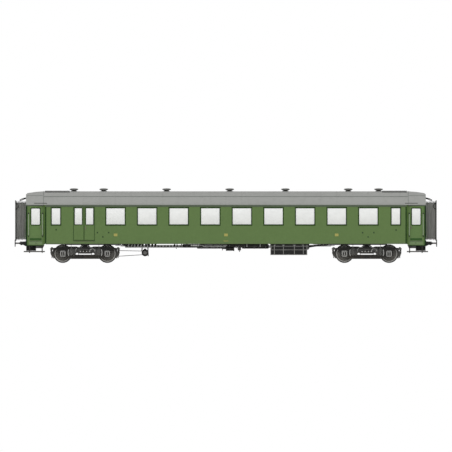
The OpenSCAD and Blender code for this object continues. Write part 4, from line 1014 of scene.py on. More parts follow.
# gangway doorway frame, and the sliding doors' panels
k = Kit()
for sx in (1, -1):
    for sy in (1, -1):
        k.box((sx * (END_X - 0.003), sy * 0.350, 1.242), (sx * (END_X + 0.009), sy * 0.405, 3.215), 0)
    k.box((sx * (END_X - 0.003), -0.405, 3.2155), (sx * (END_X + 0.009), 0.405, 3.262), 0)
    k.box((sx * (END_X - 0.058), -0.349, 1.2395), (sx * (END_X + 0.012), 0.349, 1.252), 1)
piece("gangway_doorway_frames", k, [trim_green, ram_steel], BODY, bevel=0.003, seg=2)
for e_, sx in BOGIES:
    k = Kit()
    for xa, s in ((sx * (END_X - 0.075), 1), (sx * (END_X - 0.115), -1)):
        o = sx * s
        # raised frame round a window panel and a lower panel
        for z0, z1 in ((2.20, 3.02), (1.42, 2.06)):
            a, b = -0.27, 0.27
            for lo, hi in (((a - 0.03, z0 - 0.03), (b + 0.03, z0)), ((a - 0.03, z1), (b + 0.03, z1 + 0.03)), ((a - 0.03, z0), (a, z1)), ((b, z0), (b + 0.03, z1))):
                k.box((xa - o * 0.002, lo[0], lo[1]), (xa + o * 0.008, hi[0], hi[1]), 0)
        k.box((xa - o * 0.002, -0.268, 2.202), (xa + o * 0.0022, 0.268, 3.018), 2)
        # pull handle inside, flush pull outside where the leaf slides behind the wall
        if s > 0:
            k.box((xa - o * 0.002, sx * -0.352, 2.03), (xa + o * 0.0035, sx * -0.318, 2.19), 1)
            for lo, hi in (((-0.352, 2.03), (-0.347, 2.19)), ((-0.323, 2.03), (-0.318, 2.19)), ((-0.347, 2.03), (-0.323, 2.037)), ((-0.347, 2.183), (-0.323, 2.19))):
                k.box((xa + o * 0.003, sx * lo[0], lo[1]), (xa + o * 0.0065, sx * hi[0], hi[1]), 1)
            continue
        k.tube([(xa, sx * -0.335, 2.02), (xa + o * 0.018, sx * -0.335, 2.02), (xa + o * 0.024, sx * -0.335, 2.05), (xa + o * 0.024, sx * -0.335, 2.17), (xa + o * 0.018, sx * -0.335, 2.20), (xa, sx * -0.335, 2.20)], 0.0075, 1, 10)
    piece(e_ + "_gangway_door_panels", k, [trim_green, brass, glass_mat], e_ + "_gangway_leaf", bevel=0.002)

# ------------------------------------------------------------------ ends

k = Kit()
for sx in (1, -1):
    for sy in (1, -1):
        y = sy * 0.875
        # buffer base bolts, housing ring, ram collar
        for a in (45, 135, 225, 315):
            k.bolt((sx * (END_X + 0.026), y + 0.140 * cos(radians(a)), 1.105 + 0.140 * sin(radians(a))), (sx, 0, 0), 0.016, 0.016, 0)
        for xx in (0.055, 0.30):
            k.rev([(0.090, 0), (0.107, 0.004), (0.107, 0.026), (0.090, 0.030)], (sx * (END_X + xx), y, 1.105), (sx, 0, 0), 0, 36)
        k.box((sx * (END_X - 0.002), y - 0.19, 0.935), (sx * (END_X + 0.010), y + 0.19, 1.178), 0)
        # lamp iron
        k.box((sx * (END_X - 0.002), sy * 1.09, 1.50), (sx * (END_X + 0.006), sy * 1.15, 1.66), 0)
        k.tube([(sx * (END_X + 0.004), sy * 1.12, 1.54), (sx * (END_X + 0.045), sy * 1.12, 1.545), (sx * (END_X + 0.050), sy * 1.12, 1.565), (sx * (END_X + 0.050), sy * 1.12, 1.68)], 0.01, 0, flat=(0.016, 0.004, (1, 0, 0)))
        # end hand rails
        k.tube([(sx * END_X, sy * 0.80, 1.42), (sx * (END_X + 0.05), sy * 0.80, 1.42), (sx * (END_X + 0.06), sy * 0.80, 1.45), (sx * (END_X + 0.06), sy * 0.80, 2.35), (sx * (END_X + 0.05), sy * 0.80, 2.38), (sx * END_X, sy * 0.80, 2.38)], 0.012, 3, 12)
        for z in (1.42, 2.38):
            k.rev([(0, -0.002), (0.028, -0.002), (0.028, 0.006), (0.016, 0.010), (0, 0.010)], (sx * END_X, sy * 0.80, z), (sx, 0, 0), 0, 20)
    # draw gear: pin, shackle and bow link laid back over its own hook
    k.cyl((sx * 11.31, -0.062, 1.105), (sx * 11.31, 0.062, 1.105), 0.021, 1, 20)
    for sy in (1, -1):
        k.tube([(sx * 11.31, sy * 0.042, 1.105), (sx * 11.38, sy * 0.046, 1.045), (sx * 11.46, sy * 0.050, 1.012)], 0.012, 1, 12)
        k.torus((sx * 11.31, sy * 0.042, 1.105), (0, 1, 0), 0.030, 0.011, 1, 24, 8)
        k.tube([(sx * 11.475, sy * 0.050, 1.010), (sx * 11.500, sy * 0.052, 1.040), (sx * 11.500, sy * 0.050, 1.100), (sx * 11.480, sy * 0.045, 1.150)], 0.011, 1, 12)
    k.cyl((sx * 11.468, -0.066, 1.012), (sx * 11.468, 0.066, 1.012), 0.026, 1, 20)
    k.tube([(sx * 11.480, 0.045, 1.150), (sx * 11.474, 0.030, 1.166), (sx * 11.472, 0.0, 1.170), (sx * 11.474, -0.030, 1.166), (sx * 11.480, -0.045, 1.150)], 0.011, 1, 12)
    # headstock rivets
    for i in range(-6, 7):
        y = i * 0.185
        if abs(abs(y) - 0.875) < 0.20 or abs(y) < 0.13:
            continue
        for z in (0.955, 1.155):
            k.rivet((sx * END_X, y, z), (sx, 0, 0), 0.013, 0.008, 0)
    # stretcher ribs under the drag box
    for sy in (1, -1):
        k.box((sx * 10.66, sy * 0.561, 0.70), (sx * 11.18, sy * 0.569, 0.90), 2)
        for i in range(6):
            k.rivet((sx * (10.70 + 0.09 * i), sy * 0.569, 0.72), (0, sy, 0), 0.009, 0.006, 2)
            k.rivet((sx * (10.70 + 0.09 * i), sy * 0.569, 0.88), (0, sy, 0), 0.009, 0.006, 2)
piece("end_fittings", k, [buffer_black, spring_steel, black, rail_paint], BODY, bevel=0.002, seg=2)

# entrance steps: slatted treads, second rung, brackets
k = Kit()
for sx in (1, -1):
    for sy in (1, -1):
        y0 = REC_W - 0.06
        for i in range(5):
            yy = y0 + 0.016 + i * 0.038
            k.box((sx * 10.158, sy * yy, 0.6635), (sx * 11.332, sy * (yy + 0.018), 0.669), 0)
        k.box((sx * 10.150, sy * (y0 + 0.1985), 0.602), (sx * 11.340, sy * (y0 + 0.203), 0.670), 1)
        for x in (10.273 + 0.031, 10.977 + 0.031):
            k.prism([(sy * (y0 + 0.002), 0.585), (sy * (y0 + 0.180), 0.600), (sy * (y0 + 0.180), 0.607), (sy * (y0 + 0.002), 0.607)], "x", sx * (x - 0.006), sx * (x + 0.006), 0)
            for z in (0.70, 0.93, 1.0):
                k.bolt((sx * x, sy * (y0 + 0.0), z), (0, sy, 0), 0.013, 0.009, 1)
        # small rung below the door sill
        for x in (10.42, 10.90):
            k.box((sx * (x - 0.018), sy * (y0 - 0.012), 0.90), (sx * (x + 0.018), sy * (y0 + 0.0), 1.06), 0)
piece("step_fittings", k, [steel_dark, black_grey], BODY, bevel=0.002, seg=2)

# ------------------------------------------------------------------ underframe and equipment

k = Kit()
for sy in (1, -1):
    # joist ends under the sole bar, over and beside the bogies
    xs = [-5.774 + 0.171 * i for i in range(7)] + [5.60 + 0.171 * i for i in range(17)]
    for x in xs:
        k.box((x - 0.060, sy * 1.292, 1.012), (x + 0.060, sy * 1.384, 1.0615), 0)
        k.box((x - 0.064, sy * 1.384, 1.052), (x + 0.064, sy * 1.389, 1.062), 1)
    # lower flange of the truss beam and its stiffeners between the panels, pale grey as a painted highlight
    k.box((-5.652, sy * 0.776, 0.852), (4.664, sy * 0.852, 0.866), 2)
    k.box((-5.64, sy * 0.8245, 0.866), (2.34, sy * 0.832, 0.906), 2)
    for i in range(58):
        x = -5.510 + 0.177 * i
        if 2.28 < x < 2.42:
            continue
        k.box((x + 0.020, sy * 0.8245, 0.906), (x + 0.068, sy * 0.836, 0.999), 2)
    # short uprights between the truss and the sole bar towards the left end
    for i in range(10):
        x = -5.600 + 0.177 * i
        k.box((x, sy * 0.786, 0.998), (x + 0.112, sy * 0.822, 1.0615), 0)
    # sloping tie at the right with its row of holes shown as studs, pale grey as a painted highlight
    for i in range(5):
        t = i / 5
        x = 4.86 + 0.19 * i
        k.box((x, sy * 0.8245, 0.958 + 0.020 * i), (x + 0.055, sy * 0.834, 1.018 + 0.014 * i), 2)
    # bottom flange lines of the sole bar
    k.box((-MAIN_X + 0.02, sy * 1.384, 1.040), (-9.05, sy * 1.3895, 1.0655), 1)
    k.box((-9.05, sy * 1.384, 1.003), (-5.86, sy * 1.3895, 1.0655), 0)
    k.box((4.90, sy * 1.384, 1.040), (5.70, sy * 1.3895, 1.0655), 1)
    k.box((5.70, sy * 1.384, 1.005), (9.05, sy * 1.3895, 1.0655), 0)
    # channel under each vestibule, between the drag box and the body's corner
    for sx in (1, -1):
        k.prism([(sx * 10.172, 1.003), (sx * 10.657, 1.003), (sx * 10.657, 0.821), (sx * 10.270, 0.821)], "y", sy * 1.2030, sy * 1.2215, 1)
        k.box((sx * 10.270, sy * 1.1600, 0.821), (sx * 10.657, sy * 1.2031, 0.832), 1)
        k.box((sx * 10.172, sy * 1.1600, 0.992), (sx * 10.657, sy * 1.2031, 1.003), 1)
piece("frame_members", k, [black, black_grey, pale_painted_highlight, light_line], BODY, bevel=0.002)

# battery boxes: frame of angles, doors with hinges and latches, the open rack above; the angles are light grey as a
# painted highlight
k = Kit()
for sy in (1, -1):
    yo = sy * 1.370
    def bar(x0, x1, z0, z1, m=1, t=0.010, y=yo):
        k.box((x0, y - sy * 0.003, z0), (x1, y + sy * t, z1), m)
    for x in (2.496, 2.700, 3.208, 3.826, 4.326, 4.530):
        w = 0.034
        bar(x, x + w, 0.446, 0.742)
        bar(x, x + w, 0.742, 1.056)
    bar(2.496, 4.560, 0.443, 0.470)
    bar(2.496, 4.560, 0.722, 0.748)
    bar(2.496, 4.640, 0.925, 0.950)
    bar(2.480, 4.655, 1.020, 1.058, 0)
    bar(2.480, 4.655, 1.044, 1.058)
    # gusset in the upper corners of each bay
    for x0, x1 in ((2.734, 3.208), (3.242, 3.826), (3.860, 4.326)):
        for a, d in ((x0, 1), (x1, -1)):
            P = [(a, 1.021), (a + d * 0.085, 1.021), (a, 0.955)]
            k.prism(P, "y", yo - sy * 0.002, yo + sy * 0.006, 1)
        # the lower door with louvres
        k.box((x0 + 0.010, yo - sy * 0.001, 0.478), (x1 - 0.010, yo + sy * 0.004, 0.714), 4)
        for i in range(5):
            z = 0.520 + 0.036 * i
            k.prism([(yo + sy * 0.003, z), (yo + sy * 0.011, z + 0.002), (yo + sy * 0.003, z + 0.016)], "x", x0 + 0.06, x1 - 0.06, 4)
        for hx_ in (x0 + 0.07, x1 - 0.07):
            k.cyl((hx_ - 0.025, yo + sy * 0.008, 0.715), (hx_ + 0.025, yo + sy * 0.008, 0.715), 0.008, 2, 12)
        cxm = (x0 + x1) / 2
        k.box((cxm - 0.018, yo + sy * 0.002, 0.486), (cxm + 0.018, yo + sy * 0.014, 0.512), 2)
        # cells in the open rack
        n = max(2, int((x1 - x0) / 0.15))
        for i in range(n):
            a = x0 + 0.012 + i * (x1 - x0 - 0.024) / n
            b = x0 + 0.012 + (i + 1) * (x1 - x0 - 0.024) / n - 0.014
            k.box((a, sy * 1.322, 0.760), (b, sy * 1.352, 0.905), 4)
    for x0, x1 in ((2.532, 2.698), (4.362, 4.528)):
        k.box((x0, yo - sy * 0.001, 0.478), (x1, yo + sy * 0.004, 0.714), 0)
    # slanting end straps
    for x0, d in ((2.50, -1), (4.655, 1)):
        k.prism([(x0 - 0.016, 1.056), (x0 + 0.016, 1.056), (x0 + 0.016 - d * 0.06, 0.80), (x0 - 0.016 - d * 0.06, 0.80)], "y", sy * 1.335, sy * 1.362, 1)
piece("battery_box_frames", k, [box_black, light_line, black_grey, rubber, box_black], BODY, bevel=0.002, seg=2)

# dynamo: end bells, cooling ribs, hub, terminal box, suspension eyes; the outer bell, hub, bolts, eyes and tension
# screw are light grey as a painted highlight
k = Kit()
dx, dz = -4.532, 0.566
for sy, y0 in ((-1, -0.62), (1, -0.06)):
    k.rev([(0.045, 0), (0.095, 0.004), (0.095, 0.014), (0.060, 0.020), (0.045, 0.020)] if sy < 0 else [(0.085, 0), (0.11, 0.002), (0.11, 0.006), (0.085, 0.006)], (dx, y0, dz), (0, sy, 0), 1 if sy < 0 else 0, 36)
k.rev([(0, 0), (0.040, 0), (0.036, 0.016), (0, 0.020)], (dx, -0.62, dz), (0, -1, 0), 1, 28)
for i in range(8):
    a = radians(45 * i + 22.5)
    k.bolt((dx + 0.125 * cos(a), -0.62, dz + 0.125 * sin(a)), (0, -1, 0), 0.010, 0.010, 1)
    k.bolt((dx + 0.170 * cos(a), -0.590, dz + 0.170 * sin(a)), (0, -1, 0), 0.009, 0.008, 1)
for y in (-0.56, -0.50, -0.44, -0.28, -0.14):
    k.rev([(0.186, -0.008), (0.196, -0.006), (0.196, 0.006), (0.186, 0.008)], (dx, y, dz), (0, 1, 0), 0, 48)
k.box((dx - 0.07, -0.42, dz + 0.17), (dx + 0.07, -0.30, dz + 0.235), 0)
for y in (-0.50, -0.18):
    k.cyl((dx - 0.17, y - 0.045, dz + 0.10), (dx - 0.17, y + 0.045, dz + 0.10), 0.026, 1, 18)
    k.cyl((dx + 0.17, y - 0.045, dz + 0.14), (dx + 0.17, y + 0.045, dz + 0.14), 0.026, 1, 18)
# tension screw with its spring
k.cyl((dx + 0.175, -0.35, dz - 0.20), (dx + 0.175, -0.35, dz + 0.10), 0.009, 1, 12)
pts = []
for i in range(97):
    a = 2 * pi * i / 12
    pts.append((dx + 0.175 + 0.024 * cos(a), -0.35 + 0.024 * sin(a), dz - 0.17 + 0.15 * i / 96))
k.tube(pts, 0.005, 1, 6)
piece("dynamo_fittings", k, [black_grey, light_line], BODY, bevel=0.0015)

# the belt, with its joint plates
k = Kit()
ax_, az_, ra, rb = -PIVOT + HALF_B, AXLE_Z, 0.168, 0.0803
L_ = hypot(dx - ax_, dz - az_)
phi, acs = math.atan2(dz - az_, dx - ax_), math.acos((ra - rb) / L_)
loop_ = [(ax_, az_, ra, phi + acs + (2 * pi - 2 * acs) * i / 40) for i in range(41)]
loop_ += [(dx, dz, rb, phi - acs + 2 * acs * i / 24) for i in range(25)]
vs = []
for cx_, cz_, r_, t_ in loop_:
    for off, y in ((0.001, -0.046), (0.001, 0.046), (0.016, 0.050), (0.031, 0.044), (0.031, -0.044), (0.016, -0.050)):
        vs.append((cx_ + (r_ + off) * cos(t_), y, cz_ + (r_ + off) * sin(t_)))
n_ = len(loop_)
k.add(vs, [(6 * i + j, 6 * i + (j + 1) % 6, 6 * ((i + 1) % n_) + (j + 1) % 6, 6 * ((i + 1) % n_) + j) for i in range(n_) for j in range(6)], 0)
t_ = phi - acs
px_, pz_ = ax_ + (ra + 0.031) * cos(t_), az_ + (ra + 0.031) * sin(t_)
qx_, qz_ = dx + (rb + 0.031) * cos(t_), dz + (rb + 0.031) * sin(t_)
for f in (0.45, 0.47):
    x, z = px_ + (qx_ - px_) * f, pz_ + (qz_ - pz_) * f
    k.box((x - 0.012, -0.042, z - 0.005), (x + 0.012, 0.042, z + 0.002), 1)
    for y in (-0.03, 0.0, 0.03):
        k.rivet((x, y, z - 0.004), (0, 0, -1), 0.007, 0.004, 1)
piece("belt_loop", k, [belt_mat, black_grey], BODY, replaces=("dynamo_belt",))

# air equipment: straps, end rings, pipes with unions, levers and pull rods; levers, the distributor and small fittings
# are light grey as a painted highlight
k = Kit()
def strap(x, y, z, r, w=0.04, m=1):
    k.rev([(r - 0.002, -w / 2), (r + 0.006, -w / 2), (r + 0.006, w / 2), (r - 0.002, w / 2)], (x, y, z), (1, 0, 0), m, 40)
for x in (-2.17, -0.47):
    strap(x, -0.96, 0.962, 0.092)
for x in (1.03, 2.23, 1.62):
    strap(x, -0.96, 0.926, 0.126)
for x in (-1.37, 0.13, -0.62):
    strap(x, 0.96, 0.926, 0.126)
for x in (0.02, 0.22, 0.43):
    strap(x, -0.96, 0.80, 0.118, 0.022)
for a in range(8):
    t = radians(45 * a + 22)
    k.bolt((0.47, -0.96 + 0.126 * cos(t), 0.80 + 0.126 * sin(t)), (1, 0, 0), 0.010, 0.010, 2)
# rod ends, domed heads
for x, s, y, z, r in ((-2.40, -1, -0.96, 0.962, 0.088), (-0.24, 1, -0.96, 0.962, 0.088), (0.92, -1, -0.96, 0.926, 0.12), (2.38, 1, -0.96, 0.926, 0.12),
                      (-1.60, -1, 0.96, 0.926, 0.12), (0.30, 1, 0.96, 0.926, 0.12)):
    k.rev([(0, -0.002), (r, -0.002), (r * 0.92, 0.010), (r * 0.6, 0.026), (0, 0.034)], (x, y, z), (s, 0, 0), 0, 32)
# main pipe along the side with brackets
for sy in (1, -1):
    zz = 0.975
    k.tube([(-6.2 + 12.3 * i / 60, sy * 1.225, zz + 0.004 * sin(i * 1.3)) for i in range(61)] if sy > 0 else
           [(-2.35 + 4.60 * i / 30, sy * 1.205, 0.948 + 0.003 * sin(i * 1.7)) for i in range(31)], 0.016, 1, 10)
    for x in ([-5.8, -4.4, -2.9, -1.4, 0.1, 1.6, 3.1, 4.6, 5.9] if sy > 0 else [-2.2, -1.2, -0.1, 1.3, 2.15]):
        z = zz if sy > 0 else 0.948
        y = sy * (1.225 if sy > 0 else 1.205)
        k.box((x - 0.014, y - 0.004, z), (x + 0.014, y + 0.004, 1.068), 0)
        k.torus((x, y, z), (1, 0, 0), 0.019, 0.005, 0, 20, 6)
# small reservoir and the pipe bundle that show under the right sole bar, pale grey as a painted highlight
k.rev([(0, 0), (0.040, 0.004), (0.050, 0.020), (0.050, 0.450), (0.040, 0.466), (0, 0.470)], (-1.97, -1.236, 0.985), (1, 0, 0), 3, 28)
for x in (-1.88, -1.60):
    k.rev([(0.048, -0.012), (0.055, -0.012), (0.055, 0.012), (0.048, 0.012)], (x, -1.236, 0.985), (1, 0, 0), 1, 32)
    k.box((x - 0.010, -1.242, 1.03), (x + 0.010, -1.230, 1.066), 0)
k.tube([(-1.50, -1.236, 0.985), (-1.46, -1.236, 0.992), (-0.95, -1.236, 1.000), (-0.30, -1.236, 0.996), (0.02, -1.236, 0.990), (0.05, -1.22, 0.985), (0.05, -1.17, 0.985)], 0.015, 3, 12)
k.tube([(-1.30, -1.262, 0.925), (-0.90, -1.262, 0.915), (-0.45, -1.262, 0.912), (-0.05, -1.262, 0.925), (-0.01, -1.23, 0.930)], 0.014, 3, 12)
for x in (-1.20, -0.72, -0.20):
    k.box((x - 0.012, -1.266, 0.90), (x + 0.012, -1.258, 1.066), 1)
    k.torus((x, -1.262, 0.915), (1, 0, 0), 0.018, 0.005, 1, 18, 6)
for x in (1.18, 1.92):
    k.box((x - 0.016, -1.232, 0.90), (x + 0.016, -1.216, 1.066), 3)
# branch pipes from the distributor
k.tube([(0.76, -0.875, 0.80), (0.76, -0.84, 0.80), (0.80, -0.825 + 0.0, 0.83), (0.86, -0.90, 0.90), (0.925, -0.94, 0.925)], 0.011, 1, 10)
k.tube([(0.70, -1.03, 0.78), (0.64, -1.06, 0.80), (0.60, -1.04, 0.86), (0.56, -1.0, 0.90), (0.47, -0.98, 0.86)], 0.011, 1, 10)
k.rev([(0, 0), (0.060, 0), (0.060, 0.020), (0.030, 0.034), (0.030, 0.05), (0, 0.052)], (0.76, -0.96, 0.85), (0, 0, 1), 2, 28)
for a in range(6):
    t = radians(60 * a)
    k.bolt((0.76 + 0.073 * cos(t), -0.96 + 0.073 * sin(t), 0.85), (0, 0, 1), 0.008, 0.008, 2)
for z in (0.735, 0.79):
    k.rev([(0.083, -0.008), (0.092, -0.008), (0.092, 0.008), (0.083, 0.008)], (0.76, -0.96, z), (0, 0, 1), 1, 36)
# pull rods to the bogies, on the centre line, with the floating lever
for x0, x1 in ((-0.19, -5.9), (0.52, 5.9)):
    k.cyl((x0, -0.30, 0.905), (x1, -0.16, 0.940), 0.015, 0, 12)
k.prism([(-0.21, -1.00), (-0.17, -1.00), (-0.165, -0.28), (-0.215, -0.28)], "z", 0.895, 0.915, 2)
# small cocks and drain plugs under the pipes
for x, z in ((-0.915, 0.862), (-0.375, 0.852)):
    k.cyl((x - 0.055, -1.10, z), (x + 0.055, -1.10, z), 0.026, 0, 16)
    k.cyl((x, -1.10, z), (x, -1.10, z + 0.12), 0.018, 0, 12)
    k.box((x - 0.008, -1.155, z - 0.006), (x + 0.008, -1.10, z + 0.006), 2)
# destination lever on the right
k.tube([(-2.50, -0.99, 1.064), (-2.50, -1.0, 0.93), (-2.44, -1.0, 0.90), (-2.30, -1.0, 0.90)], 0.012, 2, 10)
piece("air_fittings", k, [black, black_grey, light_line, pale_painted_highlight], BODY, bevel=0.0012)

# ------------------------------------------------------------------ bogies

for e_, s_ in BOGIES:
    P = PIVOT * s_
    body = e_ + "_bogie"
    # springs: separate leaves with clamps, eyes and links; open coils on seats; clips, pins, link plates and coils are
    # light grey as a painted highlight
    k = Kit()
    for sy in (1, -1):
        ya, yb = sy * 0.973, sy * 1.049
        for j in range(5):
            w, z0 = 0.520 - 0.070 * j, 0.620 - 0.015 * j
            top_, bot_ = [], []
            for i in range(17):
                u = -1 + i / 8
                zz = z0 + 0.016 * u * u
                top_.append((P + w * u, zz + 0.0143))
                bot_.append((P + w * u, zz + 0.001))
            k.prism(top_ + bot_[::-1], "y", ya, yb, 0)
        # buckle, its wedge and the rebound clips
        k.box((P - 0.060, sy * 0.972, 0.545), (P + 0.060, sy * 1.058, 0.660), 1)
        k.box((P - 0.050, sy * 0.980, 0.660), (P + 0.050, sy * 1.050, 0.719), 1)
        for x in (-0.038, 0.038):
            k.cyl((P + x, sy * 1.035, 0.520), (P + x, sy * 1.035, 0.735), 0.010, 2, 12)
            k.bolt((P + x, sy * 1.035, 0.545), (0, 0, -1), 0.020, 0.016, 2)
        k.bolt((P, sy * 1.058, 0.600), (0, sy, 0), 0.022, 0.014, 2)
        for d in (1, -1):
            x = P + d * 0.520
            k.rev([(0.013, -0.038), (0.027, -0.038), (0.027, 0.038), (0.013, 0.038)], (x, sy * 1.011, 0.642), (0, 1, 0), 0, 24)
            k.cyl((x, sy * 0.965, 0.642), (x, sy * 1.068, 0.642), 0.013, 2, 16)
            k.bolt((x, sy * 1.066, 0.642), (0, sy, 0), 0.022, 0.012, 2)
            for yy in (0.964, 1.052):
                k.prism([(x - 0.016, 0.622), (x + 0.016, 0.622), (x + 0.020, 0.642), (x + 0.013, 0.80), (x - 0.013, 0.80), (x - 0.020, 0.642)], "y", sy * yy, sy * (yy + 0.010), 2)
            k.box((x - 0.014, sy * 0.990, 0.672), (x + 0.014, sy * 1.030, 0.812), 1)
            for xx in (0.722, 0.830):
                cx_, cy_ = P + d * xx, sy * 1.022
                pts = []
                turns, n = 11, 13
                for i in range(turns * n + 1):
                    a = 2 * pi * i / n
                    pts.append((cx_ + 0.0385 * cos(a), cy_ + 0.0385 * sin(a), 0.430 + (0.800 - 0.430) * i / (turns * n)))
                k.tube(pts, 0.0092, 2, 7)
                k.rev([(0, 0), (0.050, 0), (0.050, 0.020), (0.030, 0.024), (0.030, 0.032), (0, 0.032)], (cx_, cy_, 0.398), (0, 0, 1), 1, 24)
                k.rev([(0, 0), (0.047, 0), (0.047, -0.012), (0.028, -0.016), (0.028, -0.024), (0, -0.024)], (cx_, cy_, 0.8125), (0, 0, 1), 1, 24)
                k.cyl((cx_, cy_, 0.42), (cx_, cy_, 0.80), 0.0165, 1, 14)
    piece(e_ + "_springs", k, [spring_steel, bogie_black, light_line], body, bevel=0.0015, replaces=(e_ + "_bogie_springs",))

    # frame details; bolts, bosses and rods are light grey, and the housings, guards and bolt heads over the slot
    # near-white, both as painted highlights
    k = Kit()
    for sy in (1, -1):
        yr = sy * 1.055
        # rivets of the top and bottom chords
        for i in range(-13, 14):
            if abs(i) in (6,):
                continue
            k.rivet((P + i * 0.108, yr, 0.848), (0, sy, 0), 0.013, 0.008, 0)
        for i in range(-8, 9):
            k.rivet((P + i * 0.106, yr, 0.282), (0, sy, 0), 0.013, 0.008, 0)
            k.rivet((P + i * 0.106, yr, 0.420 if abs(i) < 6 else 0.350), (0, sy, 0), 0.011, 0.007, 0)
        # flange along the top chord and the bottom chord
        k.box((P - 1.46, sy * 0.972, 0.880), (P + 1.46, sy * 1.066, 0.890), 1)
        for d in (1, -1):
            k.prism([(P + d * 0.42, 0.888), (P + d * 0.42, 0.912), (P + d * 0.50, 0.922), (P + d * 1.12, 0.922), (P + d * 1.30, 0.904), (P + d * 1.34, 0.888)], "y", sy * 1.000, sy * 1.046, 0)
        k.box((P - 0.90, sy * 0.972, 0.224), (P + 0.90, sy * 1.066, 0.258), 0)
        # row of bolt heads over the slot and bosses beside it, the heads near-white and the bosses light grey, both
        # painted highlights
        for x in (-0.265, -0.090, 0.090, 0.265):
            k.rev([(0, 0), (0.030, 0), (0.030, 0.012), (0.018, 0.016), (0.018, 0.026), (0, 0.028)], (P + x, sy * 1.049, 0.640), (0, sy, 0), 3, 20)
        for x in (-0.448, 0.448):
            k.rev([(0.074, 0), (0.092, 0), (0.092, 0.010), (0.074, 0.010)], (P + x, sy * 0.9705, 0.486), (0, sy, 0), 2, 32)
        k.wring(P - 0.345, P + 0.345, 0.455, 0.517, 0.014, sy * 0.968, sy * 0.980, 2)
        # rounded housings over the spring
        for cx_, cz_, R, a0, a1 in ((-0.315, 0.665, 0.215, 15, 175), (0.415, 0.640, 0.160, 5, 165)):
            pts = [(P + cx_ + R * cos(radians(a0 + (a1 - a0) * i / 16)), sy * 0.984, cz_ + R * 0.93 * sin(radians(a0 + (a1 - a0) * i / 16))) for i in range(17)]
            k.tube(pts, 0.01, 3, flat=(0.014, 0.011, (0, 1, 0)))
        # guards outside the coils and long thin rods
        for d in (1, -1):
            pts = [(P + d * (0.905 + 0.045 * cos(radians(-75 + 150 * i / 12))), sy * 1.060, 0.575 + 0.175 * sin(radians(-75 + 150 * i / 12)) / sin(radians(75))) for i in range(13)]
            k.tube(pts, 0.01, 3, flat=(0.016, 0.006, (0, 1, 0)))
            k.cyl((P + d * 0.776, sy * 1.078, 0.395), (P + d * 0.776, sy * 1.078, 1.010), 0.011, 2, 12)
            k.cyl((P + d * 0.776, sy * 1.078, 0.262), (P + d * 0.776, sy * 1.078, 0.395), 0.011, 0, 12)
            for z in (0.300, 0.848, 1.000):
                k.bolt((P + d * 0.776, sy * 1.078, z), (0, 0, 1), 0.021, 0.018, 2)
            for z in (0.315, 0.860):
                k.box((P + d * 0.776 - 0.024, sy * 1.050, z - 0.012), (P + d * 0.776 + 0.024, sy * 1.094, z), 1)
            # liners and tie bolts under the axle box
            ax = P + d * HALF_B
            for x in (-0.171, 0.171):
                for z in (0.42, 0.52, 0.64):
                    k.bolt((ax + x, sy * 1.068, z), (0, sy, 0), 0.011, 0.008, 2)
            k.box((ax - 0.200, sy * 0.985, 0.332), (ax + 0.200, sy * 1.040, 0.352), 1)
            for x in (-0.18, 0.18):
                k.bolt((ax + x, sy * 1.012, 0.332), (0, 0, -1), 0.020, 0.018, 2)
            # gussets in the corners of the frame
            k.prism([(P + d * 0.56, 0.470), (P + d * 0.66, 0.402), (P + d * 0.56, 0.402)], "y", sy * 0.972, sy * 1.048, 1)
            # brake hanger heads
            k.rev([(0, 0), (0.084, 0), (0.084, 0.014), (0.058, 0.020), (0.040, 0.020), (0.040, 0.034), (0, 0.036)], (P + d * 1.856, sy * 1.072, 0.803), (0, sy, 0), 1, 28)
            k.bolt((P + d * 1.856, sy * 1.106, 0.803), (0, sy, 0), 0.020, 0.012, 2)
            k.prism([(P + d * 1.86, 0.75), (P + d * 1.93, 0.75), (P + d * 1.955, 0.66), (P + d * 1.925, 0.64), (P + d * 1.885, 0.68)], "y", sy * 0.985, sy * 1.030, 1)
            # lugs on the headstock end of the arm
            for i in range(3):
                k.rivet((P + d * (1.60 + 0.09 * i), yr, 0.815 - 0.012 * i), (0, sy, 0), 0.012, 0.007, 0)
    # side bearer blocks
    for d in (1, -1):
        for y in (-0.55, -0.18, 0.18, 0.55):
            k.box((P + d * 0.43, y - 0.010, 0.862), (P + d * 0.52, y + 0.010, 0.880), 1)
    piece(e_ + "_frame_details", k, [bogie_black, black_grey, light_line, box_line], body, bevel=0.002, seg=1)

    # axle box covers, their rims near-white as a painted highlight
    k = Kit()
    for d in (1, -1):
        ax = P + d * HALF_B
        for sy in (1, -1):
            z0 = AXLE_Z
            k.wring(ax - 0.120, ax + 0.120, z0 - 0.140, z0 + 0.132, 0.022, sy * 1.100, sy * 1.146, 0, r=0.025)
            # double-arched cover with two upright ribs
            k.wring(ax - 0.096, ax - 0.010, z0 - 0.108, z0 + 0.100, 0.010, sy * 1.118, sy * 1.142, 0, r=0.040)
            k.wring(ax + 0.010, ax + 0.096, z0 - 0.108, z0 + 0.100, 0.010, sy * 1.118, sy * 1.142, 0, r=0.040)
            for x in (-0.055, 0.055):
                k.box((ax + x - 0.026, sy * 1.117, z0 - 0.088), (ax + x + 0.026, sy * 1.1385, z0 + 0.082), 1)
            for x in (-0.128, 0.128):
                for z in (-0.148, 0.148):
                    k.bolt((ax + x, sy * 1.146, z0 + z), (0, sy, 0), 0.014, 0.010, 2)
            # oil filler, lug under the box, dust ring behind
            k.cyl((ax, sy * 1.10, z0 + 0.150), (ax, sy * 1.150, z0 + 0.162), 0.016, 2, 16)
            k.box((ax - 0.09, sy * 0.94, z0 - 0.176), (ax + 0.09, sy * 1.09, z0 - 0.158), 2)
            k.rev([(0.0605, 0), (0.098, 0), (0.098, 0.012), (0.0605, 0.012)], (ax, sy * 0.893, z0), (0, sy, 0), 2, 36)
    piece(e_ + "_axle_box_covers", k, [box_line, bogie_black, black_grey], body, bevel=0.003, seg=2)

